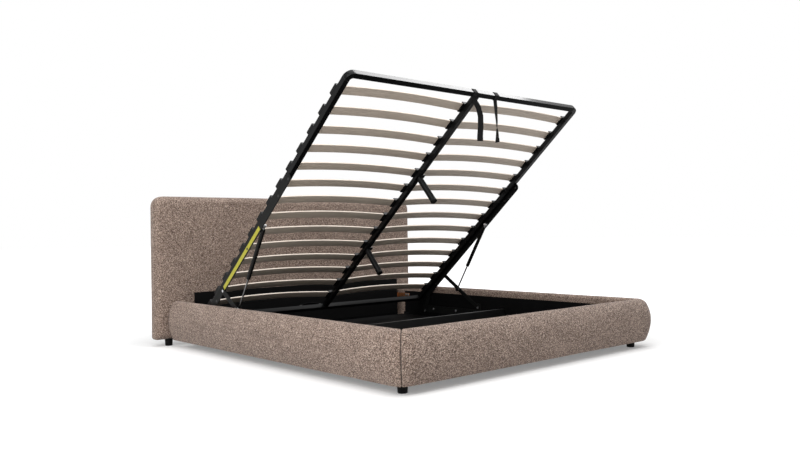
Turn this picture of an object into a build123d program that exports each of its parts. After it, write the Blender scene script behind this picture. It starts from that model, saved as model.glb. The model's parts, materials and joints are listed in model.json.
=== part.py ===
from build123d import *
import math
import os

# Storage bed with a lifting slatted platform, shown raised.
# X runs across the bed, the foot end is at -Y, the headboard at +Y, Z is up, the floor is Z = 0.
# The origin is on the floor under the middle of the whole bed. Lengths are in millimetres.

# Overall sizes
bed_width = 2000.0
bed_length = 2323.0
headboard_overhang = 65.0
headboard_top = 945.0
headboard_bottom = 43.0
headboard_thickness = 120.0
headboard_corner_radius = 66.0
headboard_front_round = 42.0
headboard_back_round = 38.0
headboard_crown = 6.0
inner_corner_share = 0.25
rail_bottom = 41.0
rail_top = 283.0
rail_thickness = 84.0
rail_corner_round = 100.0
rail_corner_ease = 4.0
mitre_angle = 45.0
open_angle = 40.7

# Gaps between pieces
fabric_gap = 0.3
mitre_gap = 0.6
slide_clearance = 0.3
pivot_clearance = 0.05
bolt_clearance = 0.3
open_pivot_gap = 0.4
cut_overrun = 5.0

# Boards and liners inside the rails
liner_thickness = 1.5
board_thickness = 22.0
board_top = 236.0
board_bottom = 44.0
liner_bottom = 58.0
wrapped_end = 83.0

# Headboard inside
headboard_ply = 15.0
headboard_pocket_depth = 78.0
headboard_pocket_inset = 52.0
headboard_batten_width = 60.0
headboard_back_cover = 1.5
headboard_batten_count = 3

# Storage floor and what carries it
floor_top = 57.0
floor_thickness = 5.0
floor_joint = 2.0
ledge_leg = 22.0
ledge_wall = 1.5
centre_beam_width = 40.0
centre_beam_height = 20.0
centre_beam_wall = 2.0
centre_foot_radius = 22.0
centre_foot_count = 3
cross_beam_from_foot = 1100.0
cross_beam_thickness = 16.0
cross_beam_top = 160.0
head_panel_side_gap = 69.0
head_panel_thickness = 16.0
head_panel_top = 334.0
head_panel_gap = 54.0
spacer_width = 40.0
spacer_place_share = 0.6

# Feet
foot_radius = 25.0
foot_taper = 3.0
foot_inset_side = 105.0
foot_inset_end = 108.0
headboard_foot_inset = 97.0
foot_plate_size = 96.0
foot_plate_thickness = 3.0

# Corner brackets
bracket_leg = 40.0
bracket_wall = 3.0
head_bracket_length = 140.0
head_bracket_height = 48.0
head_bracket_middle = 196.0
head_bracket_bolts = (100.0, 124.0)
foot_bracket_length = 48.0
foot_bracket_height = 120.0
foot_bracket_middle = 140.0
foot_bracket_bolts = (30.0,)
bracket_bolt_radius = 4.0
bracket_bolt_head_radius = 8.0
bracket_bolt_head = 3.0
bracket_bolt_length = 16.0
bracket_bolt_share = 0.25
headboard_bolt_share = 0.55
headboard_bolt_length = 60.0

# Platform frame, measured along the frame from the head tube and square to it
tube_size = 30.0
tube_wall = 1.5
corner_bend_radius = 30.0
head_tube_from_headboard = 281.0
head_tube_height = 194.0
closed_head_gap = 172.2
closed_foot_gap = 11.8
end_cap_thickness = 2.0

# Slats and their holders
slat_count = 14
slat_first_share = 0.0573
slat_pitch_share = 0.0677
slat_width = 52.0
slat_thickness = 8.0
slat_bow = 22.0
slat_clearance = 0.3
holder_margin = 5.0
holder_wall = 3.5
holder_reach = 14.0
holder_round = 3.0
holder_end_wall = 9.0

# Support legs under the middle tube
leg_places = (615.0, 1275.0)
leg_radius = 18.0
leg_wall = 1.5
leg_tip_below = 207.0
leg_cap_height = 14.0
leg_plate_size = 60.0
leg_plate_thickness = 4.0

# Lift mechanism, one set on each side
arm_thickness = 4.0
arm_start = 60.0
arm_end = 1262.0
arm_low = 47.0
arm_high = 6.0
arm_end_radius = 26.0
link_thickness = 5.0
link_half_width = 14.0
arm_link_gap = 1.0
link_plate_gap = 1.5
base_plate_thickness = 4.0
rear_arm_pivot = (103.0, -24.0)
front_arm_pivot = (312.0, -38.0)
strut_arm_pivot = (880.0, -36.0)
rear_base_from_headboard = 327.0
rear_base_height = 100.0
front_base_from_headboard = 868.0
front_base_height = 152.0
strut_link_share = 0.56
pin_radius = 5.0
pin_head_radius = 8.0
pin_head = 2.4
strut_pin_radius = 4.0
arm_bolt_places = (205.0, 680.0, 1110.0, 1238.0)
arm_bolt_height = -29.0
arm_tab_length = 36.0
arm_tab_low = 40.0
arm_bolt_radius = 4.0
arm_bolt_head_radius = 7.5
arm_bolt_head = 3.0
arm_bolt_nut = 0.7
base_bolts_from_headboard = (408.0, 643.0)
base_bolt_height = 115.0
base_plate_low = 85.0
base_plate_high = 136.0
base_plate_margin = 30.0
base_ear_half = 27.0
base_ear_round_share = 0.6
strip_start = 326.0
strip_end = 857.0
strip_width = 25.0
strip_thickness = 0.3
strip_middle = -28.0

# Gas struts
cylinder_radius = 12.0
cylinder_wall = 2.0
cylinder_length = 322.0
cylinder_start = 22.0
strut_side_gap = 2.5
top_eye_radius = 9.0
top_eye_width = 12.0
fitting_radius = 5.5
rod_radius = 5.0
rod_guide = 14.0
rod_inside = 62.0
piston_length = 16.0
rod_eye_radius = 10.0
rod_eye_width = 14.0
rod_eye_stem = 6.4

# Pull straps
strap_places = (-32.0, 142.0)
strap_drifts = (44.0, 10.0)
strap_width = 32.0
strap_thickness = 2.2
strap_lengths = (259.0, 257.0)
strap_twists = (-36.0, 92.0)
strap_turn_share = 0.45
strap_gap = 0.3

# Rest blocks for the closed platform
rest_block_width = 60.0
rest_block_reach = 34.0
rest_block_height = 30.0
rest_pad_height = 6.0
rest_clearance = 1.0
rest_block_place_share = 0.62

# Outline of the padded rail: shares of its thickness from the inner face, and of its height
rail_low_shares = ((0.63, 0.0), (0.885, 0.227), (1.0, 0.504))
rail_high_shares = ((1.0, 0.504), (0.940, 0.707), (0.750, 0.893))
rail_crest_shares = ((0.750, 0.893), (0.555, 0.967), (0.270, 1.0))
rail_lip_shares = ((0.270, 1.0), (0.080, 0.975), (0.0, 0.9215))

# Places worked out from the sizes above
half_width = bed_width / 2
foot_face = -bed_length / 2
back_face = bed_length / 2
headboard_front = back_face - headboard_thickness
rail_height = rail_top - rail_bottom
rail_inner = half_width - rail_thickness
headboard_width = bed_width + 2 * headboard_overhang
head_panel_half_width = rail_inner - head_panel_side_gap
foot_inner = foot_face + rail_thickness
board_inner = rail_inner + liner_thickness
board_outer = board_inner + board_thickness
foot_board_inner = foot_inner - liner_thickness
foot_board_outer = foot_board_inner - board_thickness
floor_bottom = floor_top - floor_thickness
base_plate_inner = rail_inner - base_plate_thickness
link_outer = base_plate_inner - link_plate_gap
link_inner = link_outer - link_thickness
arm_outer = link_inner - arm_link_gap
arm_inner = arm_outer - arm_thickness
tube_half = tube_size / 2
side_tube_x = arm_inner - tube_half
strut_x = arm_inner - strut_side_gap - cylinder_radius
hinge_y = headboard_front - head_tube_from_headboard
closed_hinge_y = headboard_front - closed_head_gap
platform_length = closed_hinge_y - foot_inner - closed_foot_gap - tube_half
slat_first = platform_length * slat_first_share
slat_pitch = platform_length * slat_pitch_share
cross_beam_y = foot_face + cross_beam_from_foot
head_panel_face = headboard_front - head_panel_gap - head_panel_thickness
front_base = (headboard_front - front_base_from_headboard, front_base_height)
rear_base = (headboard_front - rear_base_from_headboard, rear_base_height)


def block(x_range, y_range, z_range):
    size = [high - low for low, high in (x_range, y_range, z_range)]
    middle = [(high + low) / 2 for low, high in (x_range, y_range, z_range)]
    return Pos(*middle) * Box(*size)


def bar_across(x_range, point, radius):
    low, high = x_range
    return Pos((low + high) / 2, *point) * Rot(0, 90, 0) * Cylinder(radius, high - low)


def bar_along(y_range, point, radius):
    low, high = y_range
    x, z = point
    return Pos(x, (low + high) / 2, z) * Rot(90, 0, 0) * Cylinder(radius, high - low)


def upright(point, z_range, radius):
    low, high = z_range
    return Pos(*point, (low + high) / 2) * Cylinder(radius, high - low)


def plate_across(x_range, outline):
    low, high = x_range
    return extrude(Plane.YZ.offset(low) * outline, amount=high - low)


def square_tube(x_range, y_range, z_range, along):
    outer = block(x_range, y_range, z_range)
    ranges = [x_range, y_range, z_range]
    for index in range(len(ranges)):
        low, high = ranges[index]
        if index == along:
            ranges[index] = (low - cut_overrun, high + cut_overrun)
        else:
            ranges[index] = (low + tube_wall, high - tube_wall)
    return outer - block(*ranges)


def on_platform(place):
    # A point given along the frame from the head tube, and square to it, as it lies when raised.
    along, above = place
    angle = math.radians(open_angle)
    y = hinge_y - along * math.cos(angle) + above * math.sin(angle)
    z = head_tube_height + along * math.sin(angle) + above * math.cos(angle)
    return (y, z)


def raised(shape):
    # Platform pieces are drawn lying flat, with the head tube on the X axis, then raised.
    return Pos(0, hinge_y, head_tube_height) * Rot(-open_angle, 0, 0) * shape


def other_side(shape):
    return mirror(shape, about=Plane.YZ)


def both_sides(shapes):
    return list(shapes) + [other_side(shape) for shape in shapes]


def screw_across(face, direction, point, radius, head_radius, head_height, length):
    # A round-headed screw along X: the head stands off the face, the shank goes the other way.
    head = bar_across(sorted((face, face + direction * head_height)), point, head_radius)
    rim = head.edges().filter_by(GeomType.CIRCLE).sort_by(Axis.X)
    rim = rim[-1] if direction > 0 else rim[0]
    head = chamfer(rim, head_height / 2)
    shank = bar_across(sorted((face, face - direction * length)), point, radius)
    return head + shank


def rail_outline(pocket=True):
    # The padded rail seen from its end: x is the distance out from the inner face.
    def placed(shares):
        return [(out * rail_thickness, rail_bottom + up * rail_height) for out, up in shares]

    low = placed(rail_low_shares)
    lip = placed(rail_lip_shares)
    board_side = liner_thickness + board_thickness + fabric_gap
    lid = board_top + fabric_gap
    inside = Polyline(lip[-1], (0, lid), (board_side, lid), (board_side, rail_bottom), low[0])
    if not pocket:
        inside = Polyline(lip[-1], (0, rail_bottom), low[0])
    edges = [
        ThreePointArc(*low),
        ThreePointArc(*placed(rail_high_shares)),
        ThreePointArc(*placed(rail_crest_shares)),
        ThreePointArc(*lip),
        inside,
    ]
    return make_face(Curve() + edges)


def corner_cut():
    # What is cut off the right-hand foot corner of the rails, seen from above, to round it.
    x = half_width - rail_corner_round + rail_corner_ease
    y = foot_face + rail_corner_round - rail_corner_ease
    z_range = (rail_bottom - cut_overrun, rail_top + cut_overrun)
    square = block((x, half_width + cut_overrun), (foot_face - cut_overrun, y), z_range)
    return square - upright((x, y), (rail_bottom - 2 * cut_overrun, rail_top + 2 * cut_overrun), rail_corner_round)


def mitre_cut(side):
    # The prism on one side of the right-hand mitre: 1 is the foot rail's side, -1 the side rail's.
    shift = side * mitre_gap / 2
    reach = rail_thickness + cut_overrun
    outer = (half_width + cut_overrun, foot_face - cut_overrun + shift)
    inner = (half_width - reach, foot_face + reach + shift)
    corner = (inner[0], outer[1]) if side > 0 else (outer[0], inner[1])
    outline = make_face(Polyline(outer, inner, corner, outer))
    return extrude(outline, amount=rail_top + cut_overrun)


def side_rail_pad():
    # The cover closes round the board's end just before the headboard.
    head_end = headboard_front - fabric_gap
    board_end = headboard_front - wrapped_end + fabric_gap
    outline = Plane.XZ * Pos(rail_inner, 0) * rail_outline()
    pad = Pos(0, board_end, 0) * extrude(outline, amount=board_end - foot_face)
    outline = Plane.XZ * Pos(rail_inner, 0) * rail_outline(pocket=False)
    pad = pad + Pos(0, head_end, 0) * extrude(outline, amount=head_end - board_end)
    return pad - mitre_cut(1) - corner_cut()


def foot_rail_pad():
    outline = Plane.YZ * mirror(rail_outline(), about=Plane.YZ)
    pad = Pos(-half_width, foot_inner, 0) * extrude(outline, amount=bed_width)
    cuts = [mitre_cut(-1), corner_cut()]
    return drilled(pad, cuts + [other_side(cut) for cut in cuts])


def side_rail_board():
    y_range = (foot_board_inner, headboard_front - wrapped_end)
    return block((board_inner, board_outer), y_range, (board_bottom, board_top))


def foot_rail_board():
    return block((-board_outer, board_outer), (foot_board_outer, foot_board_inner), (board_bottom, board_top))


def side_liner():
    y_range = (foot_inner, headboard_front - wrapped_end)
    return block((rail_inner, board_inner), y_range, (liner_bottom, board_top))


def foot_liner():
    return block((-board_inner, board_inner), (foot_board_inner, foot_inner), (liner_bottom, board_top))


def headboard_outline(inset):
    half = headboard_width / 2 - inset
    radius = max(headboard_corner_radius - inset, headboard_corner_radius * inner_corner_share)
    low = headboard_bottom + inset
    high = headboard_top - inset
    shape = Pos(0, (low + high) / 2) * Rectangle(2 * half, high - low)
    return fillet(shape.vertices().sort_by(Axis.Y)[-2:], radius)


def headboard_pad():
    outline = Plane.XZ * headboard_outline(0)
    body = Pos(0, back_face, 0) * extrude(outline, amount=headboard_thickness)
    radius = (headboard_width / 2) ** 2 / (2 * headboard_crown)
    body = body & (Pos(0, headboard_front + radius, (headboard_bottom + headboard_top) / 2) * Sphere(radius))
    front = body.faces().sort_by(Axis.Y)[0]
    body = fillet(front.edges(), headboard_front_round)
    back = body.faces().filter_by(Plane.XZ).sort_by(Axis.Y)[-1]
    body = fillet(back.edges(), headboard_back_round)
    pocket = Plane.XZ * headboard_outline(headboard_pocket_inset)
    pocket = Pos(0, back_face + cut_overrun, 0) * extrude(pocket, amount=headboard_pocket_depth + cut_overrun)
    return body - pocket


def headboard_board():
    outline = Plane.XZ * headboard_outline(headboard_pocket_inset + fabric_gap)
    front = back_face - headboard_pocket_depth + fabric_gap
    return Pos(0, front + headboard_ply, 0) * extrude(outline, amount=headboard_ply)


def headboard_battens():
    front = back_face - headboard_pocket_depth + fabric_gap + headboard_ply
    y_range = (front, back_face - headboard_back_cover)
    half = headboard_width / 2 - headboard_pocket_inset - fabric_gap
    low = headboard_bottom + headboard_pocket_inset + fabric_gap
    high = headboard_top - headboard_pocket_inset - fabric_gap
    side_half = half - headboard_corner_radius
    pieces = []
    for z in (low, high - headboard_batten_width):
        pieces.append(block((-side_half, side_half), y_range, (z, z + headboard_batten_width)))
    uprights_low = low + headboard_batten_width
    uprights_high = high - headboard_batten_width
    step = (2 * side_half - headboard_batten_width) / (headboard_batten_count - 1)
    for index in range(headboard_batten_count):
        x = -side_half + index * step
        pieces.append(block((x, x + headboard_batten_width), y_range, (uprights_low, uprights_high)))
    return pieces


def headboard_back():
    outline = Plane.XZ * headboard_outline(headboard_pocket_inset + fabric_gap)
    return Pos(0, back_face, 0) * extrude(outline, amount=headboard_back_cover)


def foot_peg(point, height):
    taper = foot_taper
    leg = Pos(*point, height / 2) * Cone(foot_radius - taper, foot_radius, height)
    low_edge = leg.edges().filter_by(GeomType.CIRCLE).sort_by(Axis.Z)[0]
    return chamfer(low_edge, taper / 2)


def rail_feet():
    point = (half_width - foot_inset_side, foot_face + foot_inset_end)
    return both_sides([foot_peg(point, rail_bottom)])


def headboard_feet():
    point = (headboard_width / 2 - headboard_foot_inset, (headboard_front + back_face) / 2)
    return both_sides([foot_peg(point, headboard_bottom)])


def foot_plates():
    x = half_width - foot_inset_side
    y = foot_face + foot_inset_end
    half = foot_plate_size / 2
    low_y = foot_board_outer + fabric_gap
    plate = block((x - half, board_outer), (low_y, y + half), (rail_bottom, rail_bottom + foot_plate_thickness))
    return both_sides([plate])


def floor_ledges():
    # Steel angles screwed to the boards, each with its foot under the floor panels.
    z_foot = (floor_bottom - ledge_wall, floor_bottom)
    wall_top = floor_bottom + ledge_leg
    y_range = (foot_inner + ledge_leg, head_panel_face)
    wall_x = (rail_inner - ledge_wall, rail_inner)
    side = block((rail_inner - ledge_leg, rail_inner), y_range, z_foot)
    side = side + block(wall_x, y_range, (floor_bottom, wall_top))
    pieces = both_sides([side])
    reach = rail_inner - ledge_leg
    foot = block((-reach, reach), (foot_inner, foot_inner + ledge_leg), z_foot)
    foot = foot + block((-reach, reach), (foot_inner, foot_inner + ledge_wall), (floor_bottom, wall_top))
    head_y = head_panel_face
    head_half = head_panel_half_width - ledge_leg
    head = block((-head_half, head_half), (head_y - ledge_leg, head_y), z_foot)
    head = head + block((-head_half, head_half), (head_y - ledge_wall, head_y), (floor_bottom, wall_top))
    return pieces + [foot, head]


def floor_panel(y_range):
    half = rail_inner - ledge_wall - slide_clearance
    return block((-half, half), y_range, (floor_bottom, floor_top))


def foot_floor_panel():
    start = foot_inner + ledge_wall + slide_clearance
    return floor_panel((start, cross_beam_y - floor_joint / 2))


def head_floor_panel():
    end = head_panel_face - ledge_wall - slide_clearance
    return floor_panel((cross_beam_y + floor_joint / 2, end))


def cross_beam():
    half = rail_inner - ledge_wall - slide_clearance
    y_range = (cross_beam_y - cross_beam_thickness / 2, cross_beam_y + cross_beam_thickness / 2)
    return block((-half, half), y_range, (floor_top, cross_beam_top))


def head_panel():
    # The box's head wall stands off the headboard on two battens glued to its back.
    back = head_panel_face + head_panel_thickness
    z_range = (floor_bottom - ledge_wall, head_panel_top)
    panel = block((-head_panel_half_width, head_panel_half_width), (head_panel_face, back), z_range)
    x = head_panel_half_width * spacer_place_share
    spacer = block((x, x + spacer_width), (back, headboard_front - fabric_gap), z_range)
    return panel + spacer + other_side(spacer)


def centre_beam():
    half = centre_beam_width / 2
    low = floor_bottom - centre_beam_height
    y_range = (foot_inner + ledge_leg, head_panel_face - ledge_leg)
    outer = block((-half, half), y_range, (low, floor_bottom))
    inner = block(
        (-half + centre_beam_wall, half - centre_beam_wall),
        (y_range[0] - cut_overrun, y_range[1] + cut_overrun),
        (low + centre_beam_wall, floor_bottom - centre_beam_wall),
    )
    return outer - inner


def centre_feet():
    low_y = foot_inner + ledge_leg
    high_y = head_panel_face - ledge_leg
    step = (high_y - low_y) / (centre_foot_count + 1)
    top = floor_bottom - centre_beam_height
    places = [low_y + step * (index + 1) for index in range(centre_foot_count)]
    return [upright((0, y), (0, top), centre_foot_radius) for y in places]


def head_corner():
    return (headboard_front, -1, head_bracket_length, head_bracket_middle, head_bracket_height, head_bracket_bolts)


def foot_corner():
    return (foot_inner, 1, foot_bracket_length, foot_bracket_middle, foot_bracket_height, foot_bracket_bolts)


def corner_bolt_points(corner):
    y_wall, direction, length, z_middle, height, places = corner
    rise = height * bracket_bolt_share
    heights = (z_middle - rise, z_middle + rise)
    return [(y_wall + direction * place, z) for place in places for z in heights]


def headboard_bolt_points():
    x = rail_inner - bracket_leg * headboard_bolt_share
    rise = head_bracket_height * bracket_bolt_share
    return [(x, head_bracket_middle - rise), (x, head_bracket_middle + rise)]


def headboard_bolt_holes():
    y_range = (headboard_front - bracket_leg, back_face - headboard_back_cover)
    points = headboard_bolt_points()
    return both_sides([bar_along(y_range, point, bracket_bolt_radius + bolt_clearance) for point in points])


def headboard_bolts():
    # Bolts through the short leg of each head bracket into the headboard.
    face = headboard_front - fabric_gap - bracket_wall
    bolts = []
    for point in headboard_bolt_points():
        shank = bar_along((face, face + headboard_bolt_length), point, bracket_bolt_radius)
        bolts.append(shank + bar_along((face - bracket_bolt_head, face), point, bracket_bolt_head_radius))
    return both_sides(bolts)


def angle_bracket(corner):
    # An angle in a corner of the box: its long leg on the side wall, the other on the end wall.
    y_wall, direction, length, z_middle, height, places = corner
    z_range = (z_middle - height / 2, z_middle + height / 2)
    start = y_wall + direction * fabric_gap
    side_y = sorted((start, start + direction * length))
    end_y = sorted((start, start + direction * bracket_wall))
    bracket = block((rail_inner - bracket_wall, rail_inner), side_y, z_range)
    bracket = bracket + block((rail_inner - bracket_leg, rail_inner), end_y, z_range)
    x_range = (rail_inner - bracket_wall - cut_overrun, rail_inner + cut_overrun)
    for point in corner_bolt_points(corner):
        bracket = bracket - bar_across(x_range, point, bracket_bolt_radius + bolt_clearance)
    return bracket


def bolt_hole(point):
    x_range = (rail_inner - cut_overrun, rail_inner + bracket_bolt_length + cut_overrun)
    return bar_across(x_range, point, bracket_bolt_radius + bolt_clearance)


def bracket_bolt_points():
    return corner_bolt_points(head_corner()) + corner_bolt_points(foot_corner())


def head_brackets():
    return [drilled(bracket, headboard_bolt_holes()) for bracket in both_sides([angle_bracket(head_corner())])]


def foot_brackets():
    return both_sides([angle_bracket(foot_corner())])


def bracket_bolts():
    face = rail_inner - bracket_wall
    length = bracket_bolt_length + bracket_wall
    sizes = (bracket_bolt_radius, bracket_bolt_head_radius, bracket_bolt_head, length)
    across = both_sides([screw_across(face, -1, point, *sizes) for point in bracket_bolt_points()])
    return across + headboard_bolts()


def rest_blocks():
    # Blocks on the foot board that carry the foot tube when the platform is down.
    top = closed_tube_low() - rest_clearance - rest_pad_height
    x = side_tube_x * rest_block_place_share
    half = rest_block_width / 2
    y_range = (foot_inner, foot_inner + rest_block_reach)
    return both_sides([block((x - half, x + half), y_range, (top - rest_block_height, top))])


def rest_pads():
    high = closed_tube_low() - rest_clearance
    x = side_tube_x * rest_block_place_share
    half = rest_block_width / 2
    y_range = (foot_inner, foot_inner + rest_block_reach)
    return both_sides([block((x - half, x + half), y_range, (high - rest_pad_height, high))])


def closed_tube_low():
    # Underside of the frame tubes when the legs stand on the storage floor.
    return floor_top + leg_tip_below + rest_clearance - tube_half


def base_plate():
    rear_y, rear_z = rear_base
    front_y, front_z = front_base
    y_low = front_y - base_ear_half
    y_high = rear_y + base_plate_margin
    middle_z = (base_plate_low + base_plate_high) / 2
    strip = Pos((y_low + y_high) / 2, middle_z) * Rectangle(y_high - y_low, base_plate_high - base_plate_low)
    ear_top = front_z + base_ear_half
    ear = Pos(front_y, (base_plate_low + ear_top) / 2) * Rectangle(2 * base_ear_half, ear_top - base_plate_low)
    outline = strip + ear
    ears = outline.vertices().group_by(Axis.Y)[-1]
    outline = fillet(ears, base_ear_half * base_ear_round_share)
    plate = plate_across((base_plate_inner, rail_inner), outline)
    x_range = (base_plate_inner - cut_overrun, rail_inner + cut_overrun)
    for point in base_bolt_points():
        plate = plate - bar_across(x_range, point, bracket_bolt_radius + bolt_clearance)
    return plate


def base_bolt_points():
    return [(headboard_front - place, base_bolt_height) for place in base_bolts_from_headboard]


def base_bolts():
    length = bracket_bolt_length + base_plate_thickness
    sizes = (bracket_bolt_radius, bracket_bolt_head_radius, link_plate_gap, length)
    return both_sides([screw_across(base_plate_inner, -1, point, *sizes) for point in base_bolt_points()])


def base_pins():
    # Fixed pins that the two links of each side turn on, with a shoulder and a head.
    pins = []
    head_x = (link_inner - slide_clearance - pin_head, link_inner - slide_clearance)
    for point in (rear_base, front_base):
        pin = bar_across((head_x[0], base_plate_inner), point, pin_radius)
        pin = pin + bar_across(head_x, point, pin_head_radius)
        pin = pin + bar_across((link_outer + slide_clearance, base_plate_inner), point, pin_head_radius)
        pins.append(pin)
    return both_sides(pins)


def link_plate(start, end, holes):
    length = math.dist(start, end)
    angle = math.degrees(math.atan2(end[1] - start[1], end[0] - start[0]))
    middle = ((start[0] + end[0]) / 2, (start[1] + end[1]) / 2)
    outline = Pos(*middle) * Rot(0, 0, angle) * SlotCenterToCenter(length, 2 * link_half_width)
    plate = plate_across((link_inner, link_outer), outline)
    x_range = (link_inner - cut_overrun, link_outer + cut_overrun)
    for point in holes:
        plate = plate - bar_across(x_range, point, pin_radius + pivot_clearance)
    return plate


def rear_link():
    arm_end_point = on_platform(rear_arm_pivot)
    return link_plate(rear_base, arm_end_point, (rear_base, arm_end_point))


def strut_link_point():
    top = on_platform(front_arm_pivot)
    return tuple(low + (high - low) * strut_link_share for low, high in zip(front_base, top))


def front_link():
    top = on_platform(front_arm_pivot)
    return link_plate(front_base, top, (front_base, top, strut_link_point()))


def link_rivets():
    # The front link meets the arm and the strut rod side by side, each rivet stopping just short.
    head_x = (link_outer, link_outer + link_plate_gap - slide_clearance)
    fit = pin_radius
    top = on_platform(front_arm_pivot)
    upper = bar_across((link_inner, link_outer), top, fit) + bar_across(head_x, top, pin_head_radius)
    low = strut_link_point()
    reach = (strut_x + rod_eye_width / 2 + open_pivot_gap, link_outer)
    lower = bar_across(reach, low, fit) + bar_across(head_x, low, pin_head_radius)
    return both_sides([upper, lower])


def side_tube():
    # From the head tube's far face to where the foot corner starts to bend.
    x_range = (side_tube_x - tube_half, side_tube_x + tube_half)
    y_range = (-(platform_length - corner_bend_radius), tube_half)
    return square_tube(x_range, y_range, (-tube_half, tube_half), 1)


def arm_tabs():
    # Plates welded under the side tube, which the lift arm is bolted to.
    half = arm_tab_length / 2
    x_range = (arm_inner - arm_thickness, arm_inner)
    tabs = []
    for place in arm_bolt_places:
        tabs.append(block(x_range, (-place - half, -place + half), (-arm_tab_low, -tube_half)))
    return tabs


def head_tube():
    reach = side_tube_x - tube_half
    return square_tube((-reach, reach), (-tube_half, tube_half), (-tube_half, tube_half), 0)


def foot_tube():
    reach = side_tube_x - corner_bend_radius
    y_range = (-platform_length - tube_half, -platform_length + tube_half)
    return square_tube((-reach, reach), y_range, (-tube_half, tube_half), 0)


def corner_bends():
    centre = (side_tube_x - corner_bend_radius, -(platform_length - corner_bend_radius))
    outline = Plane.XZ * (Pos(corner_bend_radius, 0) * Rectangle(tube_size, tube_size))
    inner = tube_size - 2 * tube_wall
    outline = outline - Plane.XZ * (Pos(corner_bend_radius, 0) * Rectangle(inner, inner))
    bend = Pos(*centre, 0) * Rot(0, 0, -90) * revolve(outline, Axis.Z, 90)
    return both_sides([bend])


def centre_tube():
    y_range = (-(platform_length - tube_half), -tube_half)
    return square_tube((-tube_half, tube_half), y_range, (-tube_half, tube_half), 1)


def end_caps():
    x_range = (side_tube_x - tube_half, side_tube_x + tube_half)
    cap = block(x_range, (tube_half, tube_half + end_cap_thickness), (-tube_half, tube_half))
    rim = cap.faces().sort_by(Axis.Y)[-1].edges()
    return both_sides([chamfer(rim, end_cap_thickness / 2)])


slat_start = holder_end_wall
slat_end = side_tube_x + tube_half - holder_end_wall
slat_low = tube_half + holder_wall + slat_clearance


def slat_at(place, extra):
    # A slat bowed up between its two ends; extra grows it all round, for the holder pockets.
    width = slat_width + 2 * extra
    start = slat_start - extra
    end = slat_end + extra
    middle = (start + end) / 2
    low = slat_low - extra
    high = slat_low + slat_thickness + extra
    under = ThreePointArc((start, low), (middle, low + slat_bow), (end, low))
    over = ThreePointArc((end, high), (middle, high + slat_bow), (start, high))
    sides = [Line((end, low), (end, high)), Line((start, high), (start, low))]
    outline = Plane.XZ * make_face(Curve() + [under, over] + sides)
    return Pos(0, -place + width / 2, 0) * extrude(outline, amount=width)


def slat_places():
    return [slat_first + slat_pitch * index for index in range(slat_count)]


def slats():
    return [slat_at(place, 0) for place in slat_places()]


def holder_block(x_range, place):
    half = slat_width / 2 + holder_margin
    top = slat_low + slat_thickness + slat_clearance + 2 * holder_wall
    shape = block(x_range, (-place - half, -place + half), (tube_half, top))
    edges = shape.faces().sort_by(Axis.Z)[-1].edges()
    return fillet(edges, holder_round)


def side_holders():
    outer = side_tube_x + tube_half
    x_range = (outer - tube_size - holder_reach / 2, outer)
    return [holder_block(x_range, place) - slat_at(place, slat_clearance) for place in slat_places()]


def centre_holders():
    reach = tube_half + holder_reach
    pieces = []
    for place in slat_places():
        pocket = slat_at(place, slat_clearance)
        pieces.append(holder_block((-reach, reach), place) - pocket - other_side(pocket))
    return pieces


def support_legs():
    pieces = []
    half = leg_plate_size / 2
    plate_low = -tube_half - leg_plate_thickness
    for place in leg_places:
        plate = block((-half, half), (-place - half, -place + half), (plate_low, -tube_half))
        tube = upright((0, -place), (-leg_tip_below + leg_cap_height, plate_low), leg_radius)
        bore = upright((0, -place), (-leg_tip_below, plate_low), leg_radius - leg_wall)
        pieces.append(plate + (tube - bore))
    return pieces


def leg_caps():
    pieces = []
    for place in leg_places:
        z_range = (-leg_tip_below, -leg_tip_below + leg_cap_height)
        cap = upright((0, -place), z_range, leg_radius + leg_wall)
        low_edge = cap.edges().filter_by(GeomType.CIRCLE).sort_by(Axis.Z)[0]
        pieces.append(chamfer(low_edge, leg_wall))
    return pieces


def arm():
    # A long flat lever beside the side tube, with a rounded upper end.
    middle = (arm_high - arm_low) / 2
    length = arm_end - arm_start
    outline = Pos(-(arm_start + arm_end) / 2, middle) * Rectangle(length, arm_high + arm_low)
    ends = outline.vertices().group_by(Axis.X)[0]
    outline = fillet(ends, arm_end_radius)
    tails = outline.vertices().group_by(Axis.X)[-1]
    outline = fillet(tails, arm_end_radius / 2)
    plate = plate_across((arm_inner, arm_outer), outline)
    x_range = (arm_inner - cut_overrun, arm_outer + cut_overrun)
    for point in arm_bolt_points():
        plate = plate - bar_across(x_range, point, arm_bolt_radius + bolt_clearance)
    return plate


def arm_bolt_points():
    return [(-place, arm_bolt_height) for place in arm_bolt_places]


def arm_bolt_holes():
    x_range = (arm_inner - arm_thickness - cut_overrun, arm_outer + cut_overrun)
    return [bar_across(x_range, point, arm_bolt_radius + bolt_clearance) for point in arm_bolt_points()]


def arm_bolts():
    length = 2 * arm_thickness
    bolts = []
    for point in arm_bolt_points():
        sizes = (arm_bolt_radius, arm_bolt_head_radius, arm_bolt_head, length)
        bolt = screw_across(arm_inner - arm_thickness, -1, point, *sizes)
        nut_x = (arm_outer, arm_outer + arm_bolt_nut)
        bolts.append(bolt + bar_across(nut_x, point, arm_bolt_head_radius))
    return both_sides(bolts)


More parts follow.
